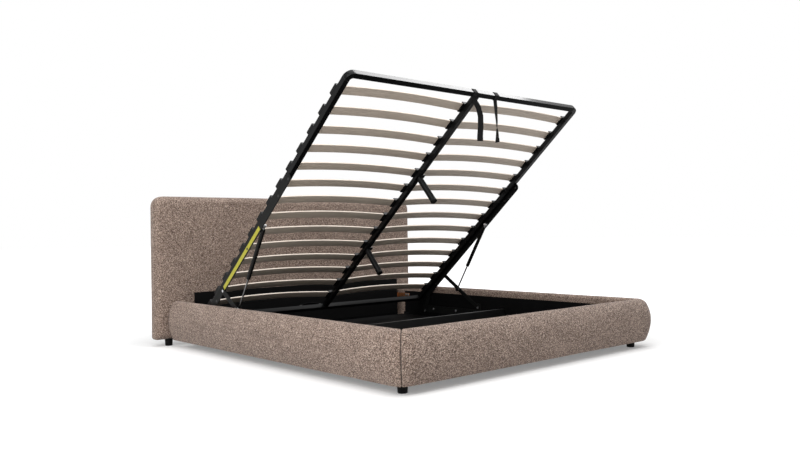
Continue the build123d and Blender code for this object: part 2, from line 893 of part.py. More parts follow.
def arm_pins():
    # The rear pin carries the rear link; the strut pin carries the gas strut's upper eye.
    rear = (-rear_arm_pivot[0], rear_arm_pivot[1])
    strut = (-strut_arm_pivot[0], strut_arm_pivot[1])
    front = (-front_arm_pivot[0], front_arm_pivot[1])
    head = (link_outer + slide_clearance, link_outer + slide_clearance + pin_head)
    rear_pin = bar_across((arm_outer, head[1]), rear, pin_radius) + bar_across(head, rear, pin_head_radius)
    inner = strut_x - top_eye_width / 2 - slide_clearance
    strut_pin = bar_across((inner - pin_head, arm_inner), strut, strut_pin_radius)
    strut_pin = strut_pin + bar_across((inner - pin_head, inner), strut, pin_head_radius)
    shoulder = (strut_x + top_eye_width / 2 + slide_clearance, arm_inner)
    strut_pin = strut_pin + bar_across(shoulder, strut, pin_head_radius)
    boss = bar_across((arm_outer, link_inner - open_pivot_gap), front, pin_head_radius)
    return both_sides([rear_pin, strut_pin, boss])


def arm_strip():
    # A plain coloured strip on the outside of the left arm, cut out round the bolt it passes.
    y_range = (-strip_end, -strip_start)
    z_range = (strip_middle - strip_width / 2, strip_middle + strip_width / 2)
    strip = block((arm_outer, arm_outer + strip_thickness), y_range, z_range)
    x_range = (arm_outer - cut_overrun, arm_outer + cut_overrun)
    for point in arm_bolt_points():
        strip = strip - bar_across(x_range, point, arm_bolt_head_radius + slide_clearance)
    return other_side(strip)


def strut_frame():
    # Local Z runs from the strut's upper pivot to its lower one.
    top = on_platform(strut_arm_pivot)
    low = strut_link_point()
    length = math.dist(top, low)
    direction = (0, (low[0] - top[0]) / length, (low[1] - top[1]) / length)
    return Plane(origin=(strut_x, *top), x_dir=(1, 0, 0), z_dir=direction), length


def strut_length():
    return strut_frame()[1]


def along_strut(z_range, radius):
    low, high = z_range
    return Pos(0, 0, (low + high) / 2) * Cylinder(radius, high - low)


def in_strut(shape):
    return strut_frame()[0].location * shape


def strut_cylinder():
    end = cylinder_start + cylinder_length
    body = along_strut((cylinder_start, end), cylinder_radius)
    bore = along_strut((cylinder_start + cylinder_wall, end - rod_guide), cylinder_radius - cylinder_wall)
    mouth = along_strut((end - rod_guide, end + cut_overrun), rod_radius + slide_clearance)
    body = chamfer(body.edges().filter_by(GeomType.CIRCLE), cylinder_wall / 2)
    return in_strut(body - bore - mouth)


def strut_top_fitting():
    eye = Rot(0, 90, 0) * Cylinder(top_eye_radius, top_eye_width)
    stem = along_strut((0, cylinder_start), fitting_radius)
    hole = Rot(0, 90, 0) * Cylinder(strut_pin_radius + pivot_clearance, top_eye_width + 2 * cut_overrun)
    return in_strut(eye + stem - hole)


def strut_rod():
    # The rod with the piston on its inner end.
    start = cylinder_start + cylinder_length - rod_inside
    rod = along_strut((start, strut_length() - rod_eye_radius), rod_radius)
    piston = along_strut((start - piston_length, start), cylinder_radius - cylinder_wall - slide_clearance)
    return in_strut(rod + piston)


def strut_rod_eye():
    eye = Pos(0, 0, strut_length()) * Rot(0, 90, 0) * Cylinder(rod_eye_radius, rod_eye_width)
    stem_start = strut_length() - 2 * rod_eye_radius
    stem = along_strut((stem_start, strut_length()), rod_eye_stem)
    socket = along_strut((stem_start - cut_overrun, strut_length() - rod_eye_radius), rod_radius)
    return in_strut(eye + stem - socket)


def strap(place, drift, twist, length):
    # Webbing looped round the foot tube, with a tail that hangs down and turns a little.
    half = strap_width / 2
    gap = tube_half + strap_gap
    wall = gap + strap_thickness
    loop = block((place - half, place + half), (-wall, wall), (-wall, wall))
    loop = loop - block((place - half - cut_overrun, place + half + cut_overrun), (-gap, gap), (-gap, gap))
    loop = raised(Pos(0, -platform_length, 0) * loop)
    y, z = on_platform((platform_length, 0))
    lean = math.radians(mitre_angle - open_angle)
    corner = wall * math.sqrt(2)
    tail_y = y - corner * math.sin(lean)
    top = z - corner * math.cos(lean) + 2 * strap_thickness
    low = z - length
    turn = top - (top - low) * strap_turn_share
    upper = strap_section(place, tail_y, top, 0)
    middle = strap_section(place + drift, tail_y - strap_thickness, turn, twist / 2)
    lower = strap_section(place + drift, tail_y - strap_thickness, low, twist)
    return loop + loft([upper, middle]) + loft([middle, lower])


def strap_section(x, y, z, angle):
    return Pos(x, y, z) * Rot(0, 0, angle) * Rectangle(strap_width, strap_thickness)


def drilled(shape, cutters):
    for cutter in cutters:
        shape = shape - cutter
    return shape


def rail_holes():
    return [bolt_hole(point) for point in bracket_bolt_points() + base_bolt_points()]


def root_nodes():
    side_board = drilled(side_rail_board(), rail_holes())
    liner = drilled(side_liner(), rail_holes())
    return {
        "headboard_pad": [drilled(headboard_pad(), headboard_bolt_holes())],
        "headboard_board": [drilled(headboard_board(), headboard_bolt_holes())],
        "headboard_battens": headboard_battens(),
        "headboard_back_cover": [headboard_back()],
        "side_rail_pad_left": [other_side(side_rail_pad())],
        "side_rail_pad_right": [side_rail_pad()],
        "foot_rail_pad": [foot_rail_pad()],
        "side_rail_board_left": [other_side(side_board)],
        "side_rail_board_right": [side_board],
        "foot_rail_board": [foot_rail_board()],
        "side_liner_left": [other_side(liner)],
        "side_liner_right": [liner],
        "foot_liner": [foot_liner()],
        "head_panel": [head_panel()],
        "floor_panel_foot": [foot_floor_panel()],
        "floor_panel_head": [head_floor_panel()],
        "floor_ledges": floor_ledges(),
        "cross_beam": [cross_beam()],
        "centre_beam": [centre_beam()],
        "centre_feet": centre_feet(),
        "corner_feet": rail_feet() + headboard_feet(),
        "foot_plates": foot_plates(),
        "head_brackets": head_brackets(),
        "foot_brackets": foot_brackets(),
        "bracket_bolts": bracket_bolts(),
        "rest_blocks": rest_blocks(),
        "rest_pads": rest_pads(),
        "base_plate_left": [other_side(base_plate())],
        "base_plate_right": [base_plate()],
        "base_plate_bolts": base_bolts(),
        "base_pivot_pins": base_pins(),
    }


def platform_nodes():
    tube = side_tube()
    for tab in arm_tabs():
        tube = tube + tab
    tube = drilled(tube, arm_bolt_holes())
    flat = {
        "side_tube_left": [other_side(tube)],
        "side_tube_right": [tube],
        "head_tube": [head_tube()],
        "foot_tube": [foot_tube()],
        "corner_bends": corner_bends(),
        "centre_tube": [centre_tube()],
        "tube_end_caps": end_caps(),
        "slats_left": [other_side(slat) for slat in slats()],
        "slats_right": slats(),
        "slat_holders_side": both_sides(side_holders()),
        "slat_holders_centre": centre_holders(),
        "support_legs": support_legs(),
        "support_leg_caps": leg_caps(),
        "lift_arm_left": [other_side(arm())],
        "lift_arm_right": [arm()],
        "arm_bolts": arm_bolts(),
        "arm_pivot_pins": arm_pins(),
        "arm_strip": [arm_strip()],
    }
    nodes = {name: [raised(shape) for shape in shapes] for name, shapes in flat.items()}
    strap_names = ("pull_strap_middle", "pull_strap_right")
    strap_sizes = zip(strap_names, strap_places, strap_drifts, strap_twists, strap_lengths)
    for name, place, drift, twist, length in strap_sizes:
        nodes[name] = [strap(place, drift, twist, length)]
    return nodes


def mechanism_nodes():
    return {
        "rear_link_left": [other_side(rear_link())],
        "rear_link_right": [rear_link()],
        "front_link_left": [other_side(front_link())],
        "front_link_right": [front_link()],
        "link_rivets": link_rivets(),
        "strut_cylinders": both_sides([strut_cylinder()]),
        "strut_top_fittings": both_sides([strut_top_fitting()]),
        "strut_rods": both_sides([strut_rod()]),
        "strut_rod_eyes": both_sides([strut_rod_eye()]),
    }


def write_nodes(nodes):
    os.makedirs("parts", exist_ok=True)
    for name, shapes in nodes.items():
        solids = [solid for shape in shapes for solid in shape.solids()]
        node = solids[0] if len(solids) == 1 else Compound(children=solids)
        export_step(node, os.path.join("parts", name + ".step"))


write_nodes(root_nodes() | platform_nodes() | mechanism_nodes())
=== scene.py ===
import json
import math

import bmesh
import bpy
from mathutils import Matrix, Vector, noise


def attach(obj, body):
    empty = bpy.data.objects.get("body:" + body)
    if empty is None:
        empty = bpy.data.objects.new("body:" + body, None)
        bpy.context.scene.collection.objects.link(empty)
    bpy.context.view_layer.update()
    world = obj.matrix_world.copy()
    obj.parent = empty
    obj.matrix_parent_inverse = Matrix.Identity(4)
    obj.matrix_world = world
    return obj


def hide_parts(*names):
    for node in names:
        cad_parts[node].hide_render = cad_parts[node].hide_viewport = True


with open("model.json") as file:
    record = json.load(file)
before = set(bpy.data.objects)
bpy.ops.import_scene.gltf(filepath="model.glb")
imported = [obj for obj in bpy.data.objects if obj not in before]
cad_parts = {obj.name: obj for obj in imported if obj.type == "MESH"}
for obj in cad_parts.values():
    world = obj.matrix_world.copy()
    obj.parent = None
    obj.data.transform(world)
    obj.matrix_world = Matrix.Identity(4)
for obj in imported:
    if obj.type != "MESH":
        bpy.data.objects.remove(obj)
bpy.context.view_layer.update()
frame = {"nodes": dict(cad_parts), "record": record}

nodes = frame["nodes"]


# Shader maths: a wrapped socket that adds and multiplies
class Value:
    def __init__(self, paint, socket):
        self.paint = paint
        self.socket = socket

    def maths(self, operation, first, second):
        return self.paint.node("Math", {"operation": operation}, {0: first, 1: second})

    def __add__(self, other):
        return self.maths("ADD", self, other)

    def __radd__(self, other):
        return self.maths("ADD", other, self)

    def __sub__(self, other):
        return self.maths("SUBTRACT", self, other)

    def __rsub__(self, other):
        return self.maths("SUBTRACT", other, self)

    def __mul__(self, other):
        return self.maths("MULTIPLY", self, other)

    def __rmul__(self, other):
        return self.maths("MULTIPLY", other, self)


class Paint:
    # The nodes of a material, or of a world.
    def __init__(self, name, holders=bpy.data.materials):
        self.holder = holders.new(name)
        self.holder.use_nodes = True
        self.tree = self.holder.node_tree
        self.tree.nodes.clear()
        self.place = self.node("TexCoord", output="Object")

    def node(self, kind, settings=None, inputs=None, output=0):
        made = self.tree.nodes.new("ShaderNode" + kind)
        for key, value in (settings or {}).items():
            if key == "stops":
                ramp = made.color_ramp
                while len(ramp.elements) < len(value):
                    ramp.elements.new(0.5)
                for element, (position, colour) in zip(ramp.elements, value):
                    element.position = position
                    element.color = (*colour, 1.0)
            else:
                setattr(made, key, value)
        for key, value in (inputs or {}).items():
            if isinstance(value, Value):
                self.tree.links.new(value.socket, made.inputs[key])
            elif isinstance(value, tuple) and len(value) == 3 and made.inputs[key].type == "RGBA":
                made.inputs[key].default_value = (*value, 1.0)
            else:
                made.inputs[key].default_value = value
        return Value(self, made.outputs[output]) if made.outputs else None

    def stretched(self, scale):
        return self.node("Mapping", None, {"Vector": self.place, "Scale": scale})

    def noise(self, scale, detail, roughness=0.55, stretch=None, place=None):
        place = self.stretched(stretch) if stretch else place or self.place
        inputs = {"Vector": place, "Scale": scale, "Detail": detail, "Roughness": roughness}
        return self.node("TexNoise", {"noise_dimensions": "3D"}, inputs)

    def cells(self, scale, output="Distance"):
        return self.node("TexVoronoi", None, {"Vector": self.place, "Scale": scale}, output)

    def bands(self, direction, inputs):
        settings = {"wave_type": "BANDS", "bands_direction": direction}
        return self.node("TexWave", settings, {"Vector": self.place, **inputs}, "Fac")

    def limits(self, value, low, high, outLow=0.0, outHigh=1.0):
        inputs = {"Value": value, "From Min": low, "From Max": high, "To Min": outLow, "To Max": outHigh}
        return self.node("MapRange", {"clamp": True}, inputs)

    def mix(self, factor, first, second):
        return self.node("Mix", {"data_type": "RGBA"}, {0: factor, 6: first, 7: second}, 2)

    def ramp(self, value, stops):
        return self.node("ValToRGB", {"stops": stops}, {"Fac": value})

    def facing(self, direction):
        # How much a surface faces a direction of the object's own frame, either way.
        normal = self.node("TexCoord", output="Normal")
        dot = self.node("VectorMath", {"operation": "DOT_PRODUCT"}, {0: normal, 1: direction}, "Value")
        return self.node("Math", {"operation": "ABSOLUTE"}, {0: dot})

    def bump(self, height, strength, distance):
        return self.node("Bump", None, {"Height": height, "Strength": strength, "Distance": distance})

    def tones(self, value, look):
        low, high = look["stops"]
        return self.ramp(value, [(low, look["dark"]), (high, look["light"])])

    def lookedAt(self):
        # 1 for rays from the camera, or that a gloss or glass sends on.
        camera = self.node("LightPath", output="Is Camera Ray")
        glossy = self.node("LightPath", output="Is Glossy Ray")
        through = self.node("LightPath", output="Is Transmission Ray")
        return camera + glossy + through

    def surface(self, shader, kind="OutputMaterial"):
        self.node(kind, None, {"Surface": shader})
        return self.holder

    def finished(self, look, colour, mottle, height, more=None, moreRough=None):
        # A finish that gets rougher with its mottle, and over what else wears it.
        rough = mottle * look["roughSpread"] + look["rough"]
        inputs = {
            "Base Color": colour,
            "Roughness": rough if moreRough is None else rough + moreRough,
            "Normal": self.bump(height, **look["bump"]),
            **(more or {}),
        }
        if "gloss" in look:
            inputs["Specular IOR Level"] = look["gloss"]
        return self.surface(self.node("BsdfPrincipled", None, inputs))


# Camera, as the photo was taken
photoCamera = {
    "focalPixels": 769.98,
    "frame": (800.0, 450.0),
    "centre": (406.894, 223.939),
    "place": (-3.1015, -3.5601, 0.6951),
    "heading": 0.7308,
    "pitch": 0.0106,
    "roll": -0.0157,
    "sensor": 36.0,
    "clip": (0.05, 100.0),
}


def makeCamera(setup):
    heading, pitch, roll = setup["heading"], setup["pitch"], setup["roll"]
    level = math.cos(pitch)
    ahead = Vector((math.sin(heading) * level, math.cos(heading) * level, math.sin(pitch)))
    side = Vector((math.cos(heading), -math.sin(heading), 0))
    up = side.cross(ahead)
    across = side * math.cos(roll) + up * math.sin(roll)
    above = up * math.cos(roll) - side * math.sin(roll)
    data = bpy.data.cameras.new("photoCamera")
    width, height = setup["frame"]
    data.sensor_width = setup["sensor"]
    data.lens = setup["focalPixels"] / width * setup["sensor"]
    data.shift_x = (width / 2 - setup["centre"][0]) / width
    data.shift_y = (setup["centre"][1] - height / 2) / width
    data.clip_start, data.clip_end = setup["clip"]
    camera = bpy.data.objects.new("photoCamera", data)
    turn = Matrix((across, above, -ahead)).transposed()
    camera.matrix_world = Matrix.Translation(setup["place"]) @ turn.to_4x4()
    bpy.context.scene.collection.objects.link(camera)
    bpy.context.scene.camera = camera


makeCamera(photoCamera)
print("camera placed")


# Fabrics
tweedLook = {
    "deep": (0.056, 0.037, 0.028),
    "taupe": (0.180, 0.125, 0.099),
    "rose": (0.306, 0.223, 0.180),
    "pale": (0.625, 0.503, 0.420),
    "stops": {"deep": 0.33, "taupe": 0.44, "rose": 0.555, "pale": 0.705},
    "clump": {"scale": 202.0, "detail": 4.0, "roughness": 0.75},
    "warp": {"scale": 9.0, "detail": 3.0},
    "fibre": {"scale": 1100.0, "detail": 2.0},
    "yarnScale": 282.0,
    "shares": {"clump": 0.58, "yarn": 0.34, "warp": 0.08},
    "relief": {"yarn": 0.6, "clump": 0.9, "fibre": 0.15},
    "gap": (0.30, 0.80), "gapDepth": 0.40,
    "rough": 0.86, "roughSpread": 0.12, "gloss": 0.25,
    "bump": {"strength": 0.5, "distance": 0.0016},
    "sheen": {"Sheen Weight": 0.12, "Sheen Roughness": 0.5},
}


def tweedFabric(look):
    paint = Paint("tweedFabric")
    shares, relief = look["shares"], look["relief"]
    clump, warp, fibre = (paint.noise(**look[name]) for name in ("clump", "warp", "fibre"))
    yarn = paint.cells(look["yarnScale"])
    pick = paint.node("SeparateColor", None, {0: paint.cells(look["yarnScale"], "Color")})
    blend = clump * shares["clump"] + pick * shares["yarn"] + warp * shares["warp"]
    colour = paint.ramp(blend, [(stop, look[name]) for name, stop in look["stops"].items()])
    colour = paint.mix(paint.limits(yarn, *look["gap"]) * look["gapDepth"], colour, look["deep"])
    height = (1 - yarn) * relief["yarn"] + clump * relief["clump"] + fibre * relief["fibre"]
    return paint.finished(look, colour, fibre, height, look["sheen"])


liningLook = {
    "dark": (0.012, 0.012, 0.012),
    "light": (0.035, 0.034, 0.034),
    "stops": (0.3, 0.7),
    "fleece": {"scale": 420.0, "detail": 4.0, "roughness": 0.7},
    "weaveScale": 700.0, "weaveRelief": 0.5,
    "rough": 0.85, "roughSpread": 0.12, "gloss": 0.2,
    "bump": {"strength": 0.4, "distance": 0.0008},
}


def liningCloth(look):
    paint = Paint("liningCloth")
    fleece = paint.noise(**look["fleece"])
    height = fleece + paint.cells(look["weaveScale"]) * look["weaveRelief"]
    return paint.finished(look, paint.tones(fleece, look), fleece, height)


webbingLook = {
    "dark": (0.0022, 0.0022, 0.0024),
    "light": (0.0095, 0.0095, 0.0100),
    "stops": (0.25, 0.8),
    "ribs": {"Scale": 90.0, "Distortion": 0.6, "Detail": 1.0},
    "cords": {"Scale": 130.0, "Distortion": 0.4},
    "fuzz": {"scale": 800.0, "detail": 3.0},
    "cordRelief": 0.5, "fuzzShare": 0.5,
    "rough": 0.66, "roughSpread": 0.2, "gloss": 0.12,
    "bump": {"strength": 0.5, "distance": 0.0007},
}


def ribbedWebbing(look):
    paint = Paint("ribbedWebbing")
    ribs = paint.bands("Z", look["ribs"])
    cords = paint.bands("X", look["cords"])
    fuzz = paint.noise(**look["fuzz"])
    share = look["fuzzShare"]
    colour = paint.tones(ribs * (1 - share) + fuzz * share, look)
    return paint.finished(look, colour, fuzz, ribs + cords * look["cordRelief"])


# Painted and plated steel: what the enamels share, and then the platings
enamelLook = {
    "stops": (0.3, 0.7),
    "peel": {"scale": 650.0, "detail": 2.0},
    "cloud": {"scale": 9.0, "detail": 4.0},
    "rub": {"scale": 60.0, "detail": 6.0, "roughness": 0.7},
    "rubbed": (0.62, 0.78), "rubRelief": 0.4, "rubRough": 0.16,
    "cloudShare": 0.7, "peelRelief": 0.8,
    "roughSpread": 0.06,
    "bump": {"strength": 0.04, "distance": 0.0003},
}
tubeBlack = {"dark": (0.0030, 0.0031, 0.0032), "light": (0.006, 0.0063, 0.0065)}


def enamelColour(paint, look):
    # The orange peel of the enamel, how cloudy it is, and its colour.
    peel, cloud = paint.noise(**look["peel"]), paint.noise(**look["cloud"])
    share = look["cloudShare"]
    return peel, cloud, paint.tones(cloud * share + peel * (1 - share), look)


def satinPaint(name, look):
    paint = Paint(name)
    peel, cloud, colour = enamelColour(paint, look)
    rub = paint.limits(paint.noise(**look["rub"]), *look["rubbed"])
    height = peel * look["peelRelief"] + rub * look["rubRelief"]
    return paint.finished(look, colour, cloud, height, None, rub * look["rubRough"])


footTubeLook = {
    **enamelLook, **tubeBlack,
    "rough": 0.34, "gloss": 0.02,
    # painted reflection: how squarely a face must turn to the room to get the clear coat
    "paintedReflectionFacing": (0.90, 0.97),
    "coat": {"Coat Roughness": 0.10, "Coat IOR": 1.13},
}


def footTubePaint(look, outward):
    # Painted reflection: a clear coat only on the face turned to the room, so that this face alone reflects
    # the lamps bright; the others stay dull as they left the oven.
    paint = Paint("footTubePaint")
    peel, cloud, colour = enamelColour(paint, look)
    paintedReflectionMask = paint.limits(paint.facing(outward), *look["paintedReflectionFacing"])
    return paint.finished(look, colour, cloud, peel, {"Coat Weight": paintedReflectionMask, **look["coat"]})


platingLook = {
    "stops": (0.3, 0.7),
    "stain": {"scale": 45.0, "detail": 5.0, "roughness": 0.65},
    "grainScale": 260.0, "grainRelief": 0.3, "stainShare": 0.6,
    "roughSpread": 0.18,
    "bump": {"strength": 0.12, "distance": 0.0004},
}


def platedSteel(name, look):
    paint = Paint(name)
    pick = paint.node("SeparateColor", None, {0: paint.cells(look["grainScale"], "Color")})
    stain = paint.noise(**look["stain"])
    share = look["stainShare"]
    colour = paint.tones(pick * (1 - share) + stain * share, look)
    return paint.finished(look, colour, stain, stain + pick * look["grainRelief"], {"Metallic": 1.0})


rodLook = {
    "dark": (0.10, 0.10, 0.10),
    "light": (0.20, 0.20, 0.20),
    "stops": (0.3, 0.7),
    "streak": {"scale": 160.0, "detail": 3.0, "roughness": 0.6, "stretch": (1.0, 0.08, 0.08)},
    "rough": 0.14, "roughSpread": 0.12,
    "bump": {"strength": 0.05, "distance": 0.0002},
}


def polishedRod(look):
    paint = Paint("polishedRod")
    streak = paint.noise(**look["streak"])
    return paint.finished(look, paint.tones(streak, look), streak, streak, {"Metallic": 1.0})


# Wood and boards
slatLook = {
    "tilt": 40.7,
    "foil": {"dark": (0.430, 0.358, 0.292), "light": (0.560, 0.478, 0.398), "stops": (0.35, 0.65)},
    "edge": {"dark": (0.56, 0.47, 0.38), "light": (0.78, 0.69, 0.60), "stops": (0.38, 0.55)},
    "grain": {"scale": 95.0, "detail": 6.0, "roughness": 0.65, "stretch": (0.045, 1.0, 1.0)},
    "pores": {"scale": 420.0, "detail": 3.0, "roughness": 0.7, "stretch": (0.03, 1.0, 1.0)},
    "board": {"scale": 2.4, "detail": 2.0},
    "layers": {"scale": 1500.0, "detail": 1.0, "roughness": 0.5},
    "foilShares": {"grain": 0.6, "pores": 0.25, "board": 0.15},
    "edgeShares": {"layers": 0.6, "pores": 0.4},
    "relief": {"grain": 0.6, "pores": 0.6},
    "narrow": (0.55, 0.75), "edgeRough": 0.15,
    "rough": 0.42, "roughSpread": 0.2,
    "bump": {"strength": 0.22, "distance": 0.0006},
}


def slatWood(look):
    # Foil on the broad faces, the bare layers of the wood on the narrow ones.
    paint = Paint("slatWood")
    tilt = math.radians(look["tilt"])
    sideways = (0.0, math.cos(tilt), -math.sin(tilt))
    upward = (0.0, math.sin(tilt), math.cos(tilt))
    grain, pores, board = (paint.noise(**look[name]) for name in ("grain", "pores", "board"))
    shares, plies, relief = look["foilShares"], look["edgeShares"], look["relief"]
    blend = grain * shares["grain"] + pores * shares["pores"] + board * shares["board"]
    foil = paint.tones(blend, look["foil"])
    level = paint.node("VectorMath", {"operation": "DOT_PRODUCT"}, {0: paint.place, 1: upward}, "Value")
    layers = paint.noise(**look["layers"], place=paint.node("CombineXYZ", None, {0: level}))
    edge = paint.tones(layers * plies["layers"] + pores * plies["pores"], look["edge"])
    mask = paint.limits(paint.facing(sideways), *look["narrow"])
    height = grain * relief["grain"] + pores * relief["pores"]
    return paint.finished(look, paint.mix(mask, foil, edge), grain, height, None, mask * look["edgeRough"])


boardLook = {
    "dark": (0.0022, 0.0022, 0.0023),
    "light": (0.0048, 0.0048, 0.005),
    "stops": (0.3, 0.75),
    "leatherScale": 900.0,
    "dust": {"scale": 5.0, "detail": 6.0, "roughness": 0.7},
    "scuff": {"scale": 38.0, "detail": 5.0, "roughness": 0.75},
    "scuffed": (0.6, 0.82), "scuffShare": 0.3, "dustShare": 0.7, "scuffRelief": 0.3,
    "rough": 0.58, "roughSpread": 0.18, "gloss": 0.06,
    "bump": {"strength": 0.2, "distance": 0.0005},
}


def facedBoard(look):
    paint = Paint("facedBoard")
    leather = paint.cells(look["leatherScale"])
    dust = paint.noise(**look["dust"])
    scuff = paint.limits(paint.noise(**look["scuff"]), *look["scuffed"])
    colour = paint.tones(dust * look["dustShare"] + scuff * look["scuffShare"], look)
    return paint.finished(look, colour, dust, leather + scuff * look["scuffRelief"])


plyLook = {
    "dark": (0.30, 0.19, 0.10),
    "light": (0.62, 0.46, 0.29),
    "stops": (0.32, 0.68),
    "grain": {"scale": 70.0, "detail": 7.0, "roughness": 0.7, "stretch": (0.06, 1.0, 1.0)},
    "ring": {"scale": 7.0, "detail": 3.0, "roughness": 0.5, "stretch": (0.15, 1.0, 1.0)},
    "grainShare": 0.6, "ringShare": 0.4,
    "rough": 0.62, "roughSpread": 0.2,
    "bump": {"strength": 0.3, "distance": 0.0008},
}


def barePly(look):
    paint = Paint("barePly")
    grain, ring = paint.noise(**look["grain"]), paint.noise(**look["ring"])
    colour = paint.tones(grain * look["grainShare"] + ring * look["ringShare"], look)
    return paint.finished(look, colour, grain, grain)


# Plastics and rubber
plasticLook = {
    "stops": (0.3, 0.7),
    "cloud": {"scale": 30.0, "detail": 3.0},
    "sparkScale": 1400.0,
    "roughSpread": 0.1, "gloss": 0.09,
    "bump": {"strength": 0.25, "distance": 0.0004},
}


def mouldedPlastic(name, look):
    paint = Paint(name)
    spark = paint.cells(look["sparkScale"])
    return paint.finished(look, paint.tones(paint.noise(**look["cloud"]), look), spark, spark)


stripLook = {
    "dark": (0.32, 0.29, 0.009),
    "light": (0.43, 0.40, 0.016),
    "stops": (0.3, 0.6),
    "wear": {"scale": 70.0, "detail": 6.0, "roughness": 0.7},
    "rough": 0.38, "roughSpread": 0.2,
    "bump": {"strength": 0.08, "distance": 0.0003},
}


def stripFilm(look):
    paint = Paint("stripFilm")
    wear = paint.noise(**look["wear"])
    return paint.finished(look, paint.tones(wear, look), wear, wear)


enamels = {
    "frameSteel": {**tubeBlack, "rough": 0.20, "gloss": 0.10},
    "liftSteel": {"dark": (0.0050, 0.0052, 0.0050), "light": (0.0085, 0.0088, 0.0084),
                  "rough": 0.40, "gloss": 0.07},
    "strutBlack": {"dark": (0.003, 0.0028, 0.0026), "light": (0.006, 0.0056, 0.0052),
                   "rough": 0.20, "gloss": 0.12},
    "dullEnamel": {**tubeBlack, "rough": 0.42, "gloss": 0.035},
    "edgeBand": {"dark": (0.004, 0.004, 0.004), "light": (0.008, 0.008, 0.008),
                 "rough": 0.34, "gloss": 0.5},
    "blackenedScrew": {"dark": (0.004, 0.004, 0.004), "light": (0.009, 0.009, 0.009),
                       "rough": 0.34, "gloss": 0.3},
}
platings = {
    "zincYellow": {"dark": (0.42, 0.17, 0.07), "light": (0.66, 0.36, 0.18), "rough": 0.30},
    "plainSteel": {"dark": (0.48, 0.48, 0.49), "light": (0.72, 0.72, 0.73), "rough": 0.26},
    "forkSteel": {"dark": (0.17, 0.17, 0.17), "light": (0.36, 0.36, 0.36), "rough": 0.32},
}
plastics = {
    "blackPlastic": {"dark": (0.0035, 0.0035, 0.0035), "light": (0.007, 0.007, 0.007), "rough": 0.42},
    "padRubber": {"dark": (0.014, 0.014, 0.014), "light": (0.024, 0.024, 0.024), "rough": 0.78},
}
enamel = {name: satinPaint(name, {**enamelLook, **own}) for name, own in enamels.items()}
plating = {name: platedSteel(name, {**platingLook, **own}) for name, own in platings.items()}
plastic = {name: mouldedPlastic(name, {**plasticLook, **own}) for name, own in plastics.items()}

# By material slot of the record
finishes = {
    "upholstery": tweedFabric(tweedLook),
    "back_cloth": liningCloth(liningLook),
    "rail_board": barePly(plyLook),
    "storage_board": facedBoard(boardLook),
    "frame_steel": enamel["frameSteel"],
    "lift_steel": enamel["liftSteel"],
    "zinc_yellow": plating["zincYellow"],
    "plain_steel": plating["plainSteel"],
    "strut_black": enamel["strutBlack"],
    "rod_chrome": polishedRod(rodLook),
    "slat_wood": slatWood(slatLook),
    "black_plastic": plastic["blackPlastic"],
    "pad_rubber": plastic["padRubber"],
    "webbing": ribbedWebbing(webbingLook),
    "strip_yellow": stripFilm(stripLook),
}
# By node, for the pieces that differ from the rest of their slot
slatTilt = math.radians(slatLook["tilt"])
footOutward = (0.0, -math.cos(slatTilt), math.sin(slatTilt))
ownFinishes = {
    "foot_tube": footTubePaint(footTubeLook, footOutward),
    "head_tube": enamel["dullEnamel"],
    "strut_top_fittings": plating["forkSteel"],
    "cross_beam": enamel["edgeBand"],
    "arm_bolts": enamel["blackenedScrew"],
}

for part in frame["record"]["subparts"]:
    piece = nodes[part["node"]]
    finish = ownFinishes.get(part["node"], finishes[part["material_slot"]])
    if not piece.material_slots:
        piece.data.materials.append(finish)
    for place in piece.material_slots:
        place.material = finish
print("finishes assigned")

# Broken edges on the steel, boards, wood and plastic, in metres
edgeWidths = {
    "frame_steel": 0.0022,
    "lift_steel": 0.0007,
    "zinc_yellow": 0.0006,
    "storage_board": 0.0007,
    "rail_board": 0.0008,
    "slat_wood": 0.0011,
    "black_plastic": 0.0008,
    "pad_rubber": 0.0008,
}
edgeCut = {"weld": 0.00001, "segments": 2, "angle": 50.0}


def breakEdges(piece, width):
    weld = piece.modifiers.new("weld", "WELD")
    weld.merge_threshold = edgeCut["weld"]
    bevel = piece.modifiers.new("brokenEdges", "BEVEL")
    bevel.width = width
    bevel.segments = edgeCut["segments"]
    bevel.limit_method = "ANGLE"
    bevel.angle_limit = math.radians(edgeCut["angle"])
    bevel.use_clamp_overlap = True


for part in frame["record"]["subparts"]:
    width = edgeWidths.get(part["material_slot"])
    if width:
        breakEdges(nodes[part["node"]], width)
print("edges broken")


# Mesh helpers
meshing = {"weld": 0.00002, "sharp": 38.0}


def makePiece(name, points, faces, finish, sharp=meshing["sharp"]):
    mesh = bpy.data.meshes.new(name)
    mesh.from_pydata([tuple(point) for point in points], [], faces)
    work = bmesh.new()
    work.from_mesh(mesh)
    bmesh.ops.remove_doubles(work, verts=work.verts, dist=meshing["weld"])
    bmesh.ops.recalc_face_normals(work, faces=work.faces)
    for face in work.faces:
        face.smooth = True
    for edge in work.edges:
        if len(edge.link_faces) == 2 and edge.calc_face_angle(0) > math.radians(sharp):
            edge.smooth = False
    work.to_mesh(mesh)
    work.free()
    mesh.materials.append(finish)
    piece = bpy.data.objects.new(name, mesh)
    bpy.context.scene.collection.objects.link(piece)
    return piece


def ringFaces(rings, count):
    faces = []
    for ring in range(rings - 1):
        for index in range(count):
            after = (index + 1) % count
            low, high = ring * count, (ring + 1) * count
            faces.append((low + index, low + after, high + after, high + index))
    return faces


